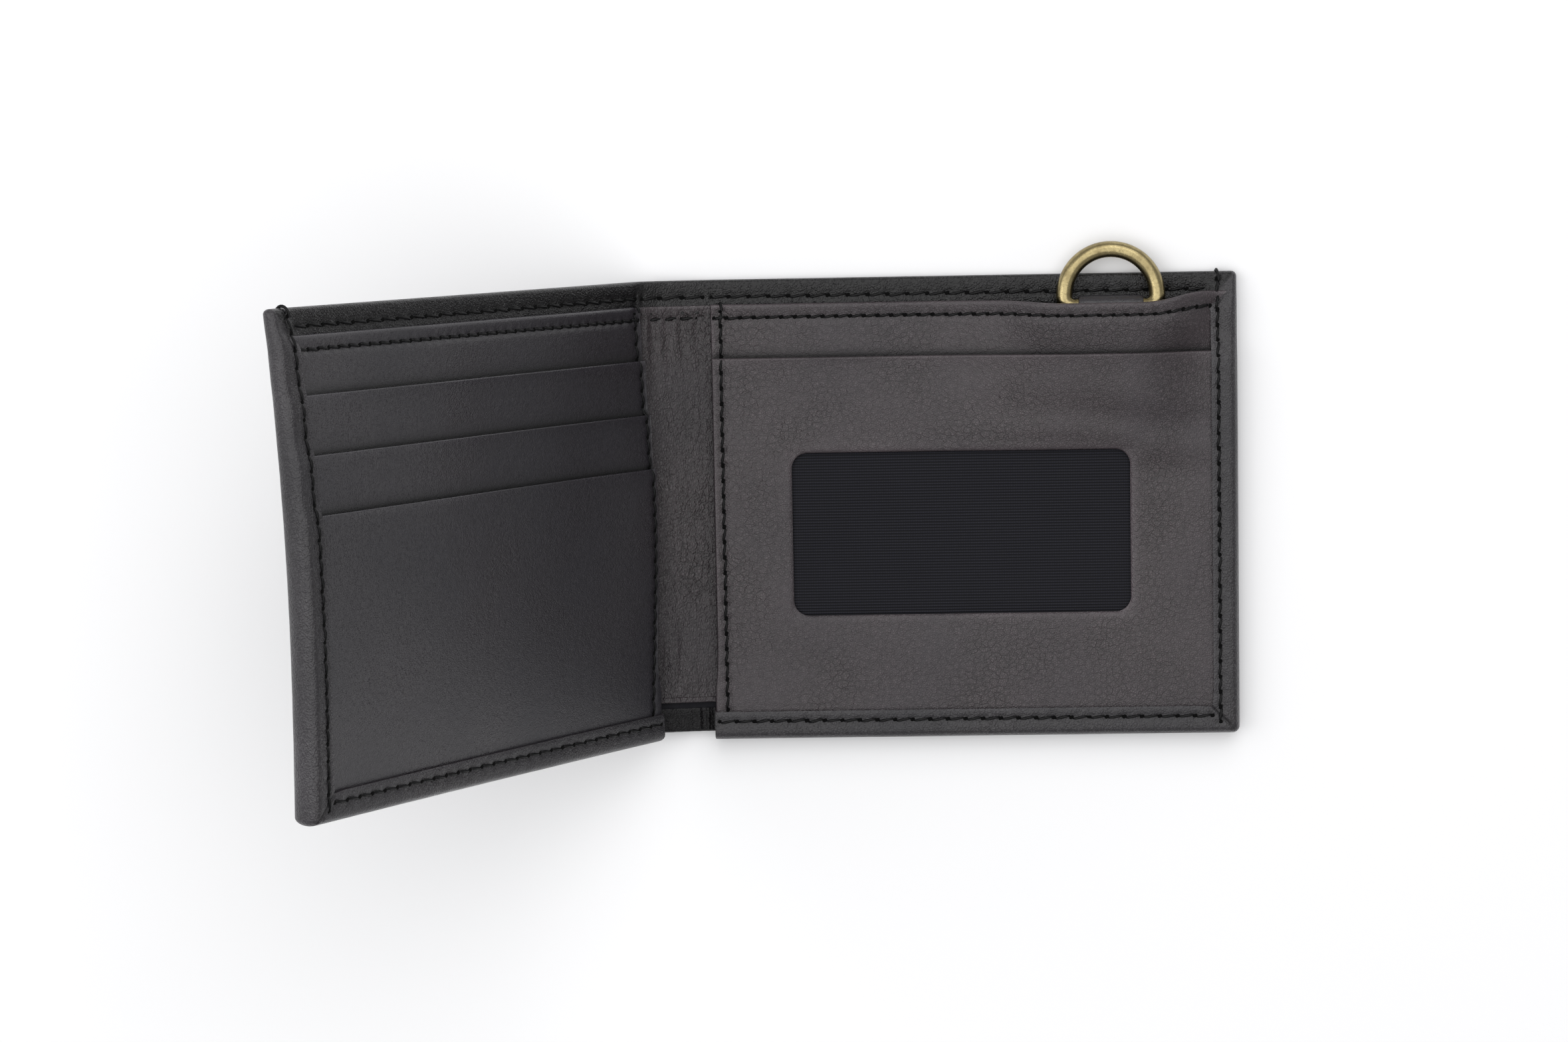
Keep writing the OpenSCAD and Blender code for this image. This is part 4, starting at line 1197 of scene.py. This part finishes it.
class WALLET_OT_seams(WalletPiece, bpy.types.Operator):
    """Makes every seam's stitches, on the inside and, where the thread comes through, on the outer face"""
    bl_idname = "wallet.seams"
    bl_label = "Seams"

    def execute(self, context):
        n, at, runs, thread = sizes(), seams(), seam_runs(), finish_of("thread")

        def level(h):
            return lambda s, v: h + 0 * s

        def mirrored(side, run):
            return (*sorted((across(side, run[0]), across(side, run[1]))), run[2])

        outside, on_mouth = level(0.18), level(1.95)
        for side, wing, lean in ((RIGHT, "right", LEAN), (LEFT, "left", -LEAN)):
            hem_top = float(hem_height(side, np.array(L.bottom)))
            s_side, s_fold = across(side, at.side), across(side, at.fold)
            mouth, bottom, panel = (mirrored(side, runs[k]) for k in ("mouth", "bottom", "panel"))

            def on_hem(s, v):
                return hem_height(side, v) - 0.06

            def on_layers(s, v):
                return layer_top(side, across(side, s), v) - 0.05

            def on_panel(s, v):
                return L.panel_h[1] - 0.05 + stack(side, across(side, s), v) + bulge(side, across(side, s), v)

            def drop(s, v):
                return -dip(side, across(side, s), v)

            for kind, node, parts in (
                    ("mouth", "mouth", seam_line("across", at.mouth, mouth, on_mouth, lean, 11)
                     + seam_line("across", at.mouth, mouth, outside, lean, 12, under=True)),
                    ("panel", "panel_top", seam_line("across", at.panel, panel, on_panel, lean, 13,
                                                     shift=drop)),
                    ("side", "side", seam_line("up", s_side, runs["side"], on_hem, lean, 14)
                     + seam_line("up", s_side, runs["side"], outside, lean, 15, under=True)
                     + [edge_stitch(side, at.side, L.top, 1.5, 1.35)]),
                    ("bottom", "bottom", seam_line("across", at.bottom, bottom, level(hem_top - 0.06), lean,
                                                   16)
                     + seam_line("across", at.bottom, bottom, outside, lean, 17, under=True)),
                    ("fold", "pocket", seam_line("up", s_fold, runs["fold"], on_layers, lean, 18)
                     + [edge_stitch(side, at.fold, L.mouth, 2.65, 0.95)])):
                thread_piece(f"stitches_{kind}_{wing}", parts, thread, f"seam_{node}_{wing}", wing + "_wing")
        middle = -L.spine_w / 2
        for kind, fixed, pitch, height, reach, node, through in (
                ("mouth", at.mouth, n.mouth_pitch, 1.95, SPINE_REACH, "seam_mouth_spine", True),
                ("panel", at.panel, n.panel_pitch, 1.92, 4.0, "seam_panel_top_spine", False)):
            run = (middle - reach, middle + reach, row_span(-reach, reach, pitch)[1])
            parts = seam_line("across", fixed, run, level(height), LEAN, 19)
            if through:
                parts += seam_line("across", fixed, run, outside, LEAN, 20, under=True)
            thread_piece(f"stitches_{kind}_spine", parts, thread, node, "spine")
        return {"FINISHED"}


def area_light(name, at, size, power):
    """A soft rectangular studio light, turned to the origin."""
    data = bpy.data.lights.new(name, "AREA")
    data.shape, data.size, data.size_y, data.energy = "RECTANGLE", size[0], size[1], power
    made = bpy.data.objects.new(name, data)
    bpy.context.scene.collection.objects.link(made)
    made.location = at
    made.rotation_euler = (-Vector(at)).to_track_quat("-Z", "Y").to_euler()


class WALLET_OT_stage(WalletPiece, bpy.types.Operator):
    """Makes the pale floor, the soft lights and the camera"""
    bl_idname = "wallet.stage"
    bl_label = "Stage"

    def execute(self, context):
        scene = context.scene
        made, _, shader, _ = material("studio_floor")
        shader.inputs["Base Color"].default_value = (0.92, 0.92, 0.93, 1.0)
        shader.inputs["Roughness"].default_value = 0.9
        mesh = bpy.data.meshes.new("floor")
        half, below = 3.0, 0.0003
        corners = np.array([[-1, -1, 0], [1, -1, 0], [1, 1, 0], [-1, 1, 0]]) * half - np.array([0, 0, below])
        mesh.from_pydata(corners, [], [(0, 1, 2, 3)])
        mesh.materials.append(made)
        floor = bpy.data.objects.new("floor", mesh)
        scene.collection.objects.link(floor)
        world = bpy.data.worlds.new("studio")
        scene.world = world
        world.use_nodes = True
        sky = world.node_tree.nodes["Background"]
        sky.inputs["Color"].default_value = (1.0, 1.0, 1.0, 1.0)
        sky.inputs["Strength"].default_value = 0.42
        area_light("overhead_soft", (-0.10, 0.10, 1.6), (2.2, 1.8), 16.0)
        area_light("left_soft", (-1.1, 0.30, 1.0), (1.2, 1.0), 6.0)
        area_light("back_soft", (0.25, 1.1, 1.1), (1.4, 0.9), 6.0)
        scene.view_settings.view_transform = "Standard"
        eye = bpy.data.cameras.new("camera")
        eye.sensor_width, eye.lens, eye.dof.use_dof = 36.0, 86.6, False
        eye.clip_start, eye.clip_end = 0.01, 20.0
        turned = (Matrix.Rotation(math.radians(0.87), 3, "Z") @ Matrix.Rotation(math.radians(-2.21), 3, "Y")
                  @ Matrix.Rotation(math.radians(6.09), 3, "X")).transposed()
        spot = -(turned @ Vector((0.0361, 0.0030, -0.7289)))
        camera = bpy.data.objects.new("camera", eye)
        scene.collection.objects.link(camera)
        camera.matrix_world = Matrix.Translation(spot) @ turned.to_4x4()
        scene.camera = camera
        return {"FINISHED"}


STEPS = (WALLET_OT_outer_leather, WALLET_OT_note_lining, WALLET_OT_inner_panels, WALLET_OT_window,
         WALLET_OT_card_pockets, WALLET_OT_spine_panel, WALLET_OT_ring, WALLET_OT_seams, WALLET_OT_stage)


class WALLET_PT_pieces(bpy.types.Panel):
    """The wallet's sizes, colours and pieces"""
    bl_idname = "WALLET_PT_pieces"
    bl_label = "Wallet"
    bl_space_type = "VIEW_3D"
    bl_region_type = "UI"
    bl_category = "Wallet"

    def draw(self, context):
        for group in (context.scene.wallet_sizes, context.scene.wallet_colours):
            box = self.layout.box()
            for key in type(group).__annotations__:
                box.prop(group, key)
        for step in STEPS:
            self.layout.operator(step.bl_idname)


CLASSES = (WalletSizes, WalletColours, *STEPS, WALLET_PT_pieces)


def register():
    for cls in CLASSES:
        bpy.utils.register_class(cls)
    bpy.types.Scene.wallet_sizes = PointerProperty(type=WalletSizes)
    bpy.types.Scene.wallet_colours = PointerProperty(type=WalletColours)


def unregister():
    del bpy.types.Scene.wallet_sizes, bpy.types.Scene.wallet_colours
    for cls in reversed(CLASSES):
        bpy.utils.unregister_class(cls)


def main():
    register()
    for step in STEPS:
        getattr(bpy.ops.wallet, step.bl_idname.split(".")[1])()


if __name__ == "__main__":
    main()
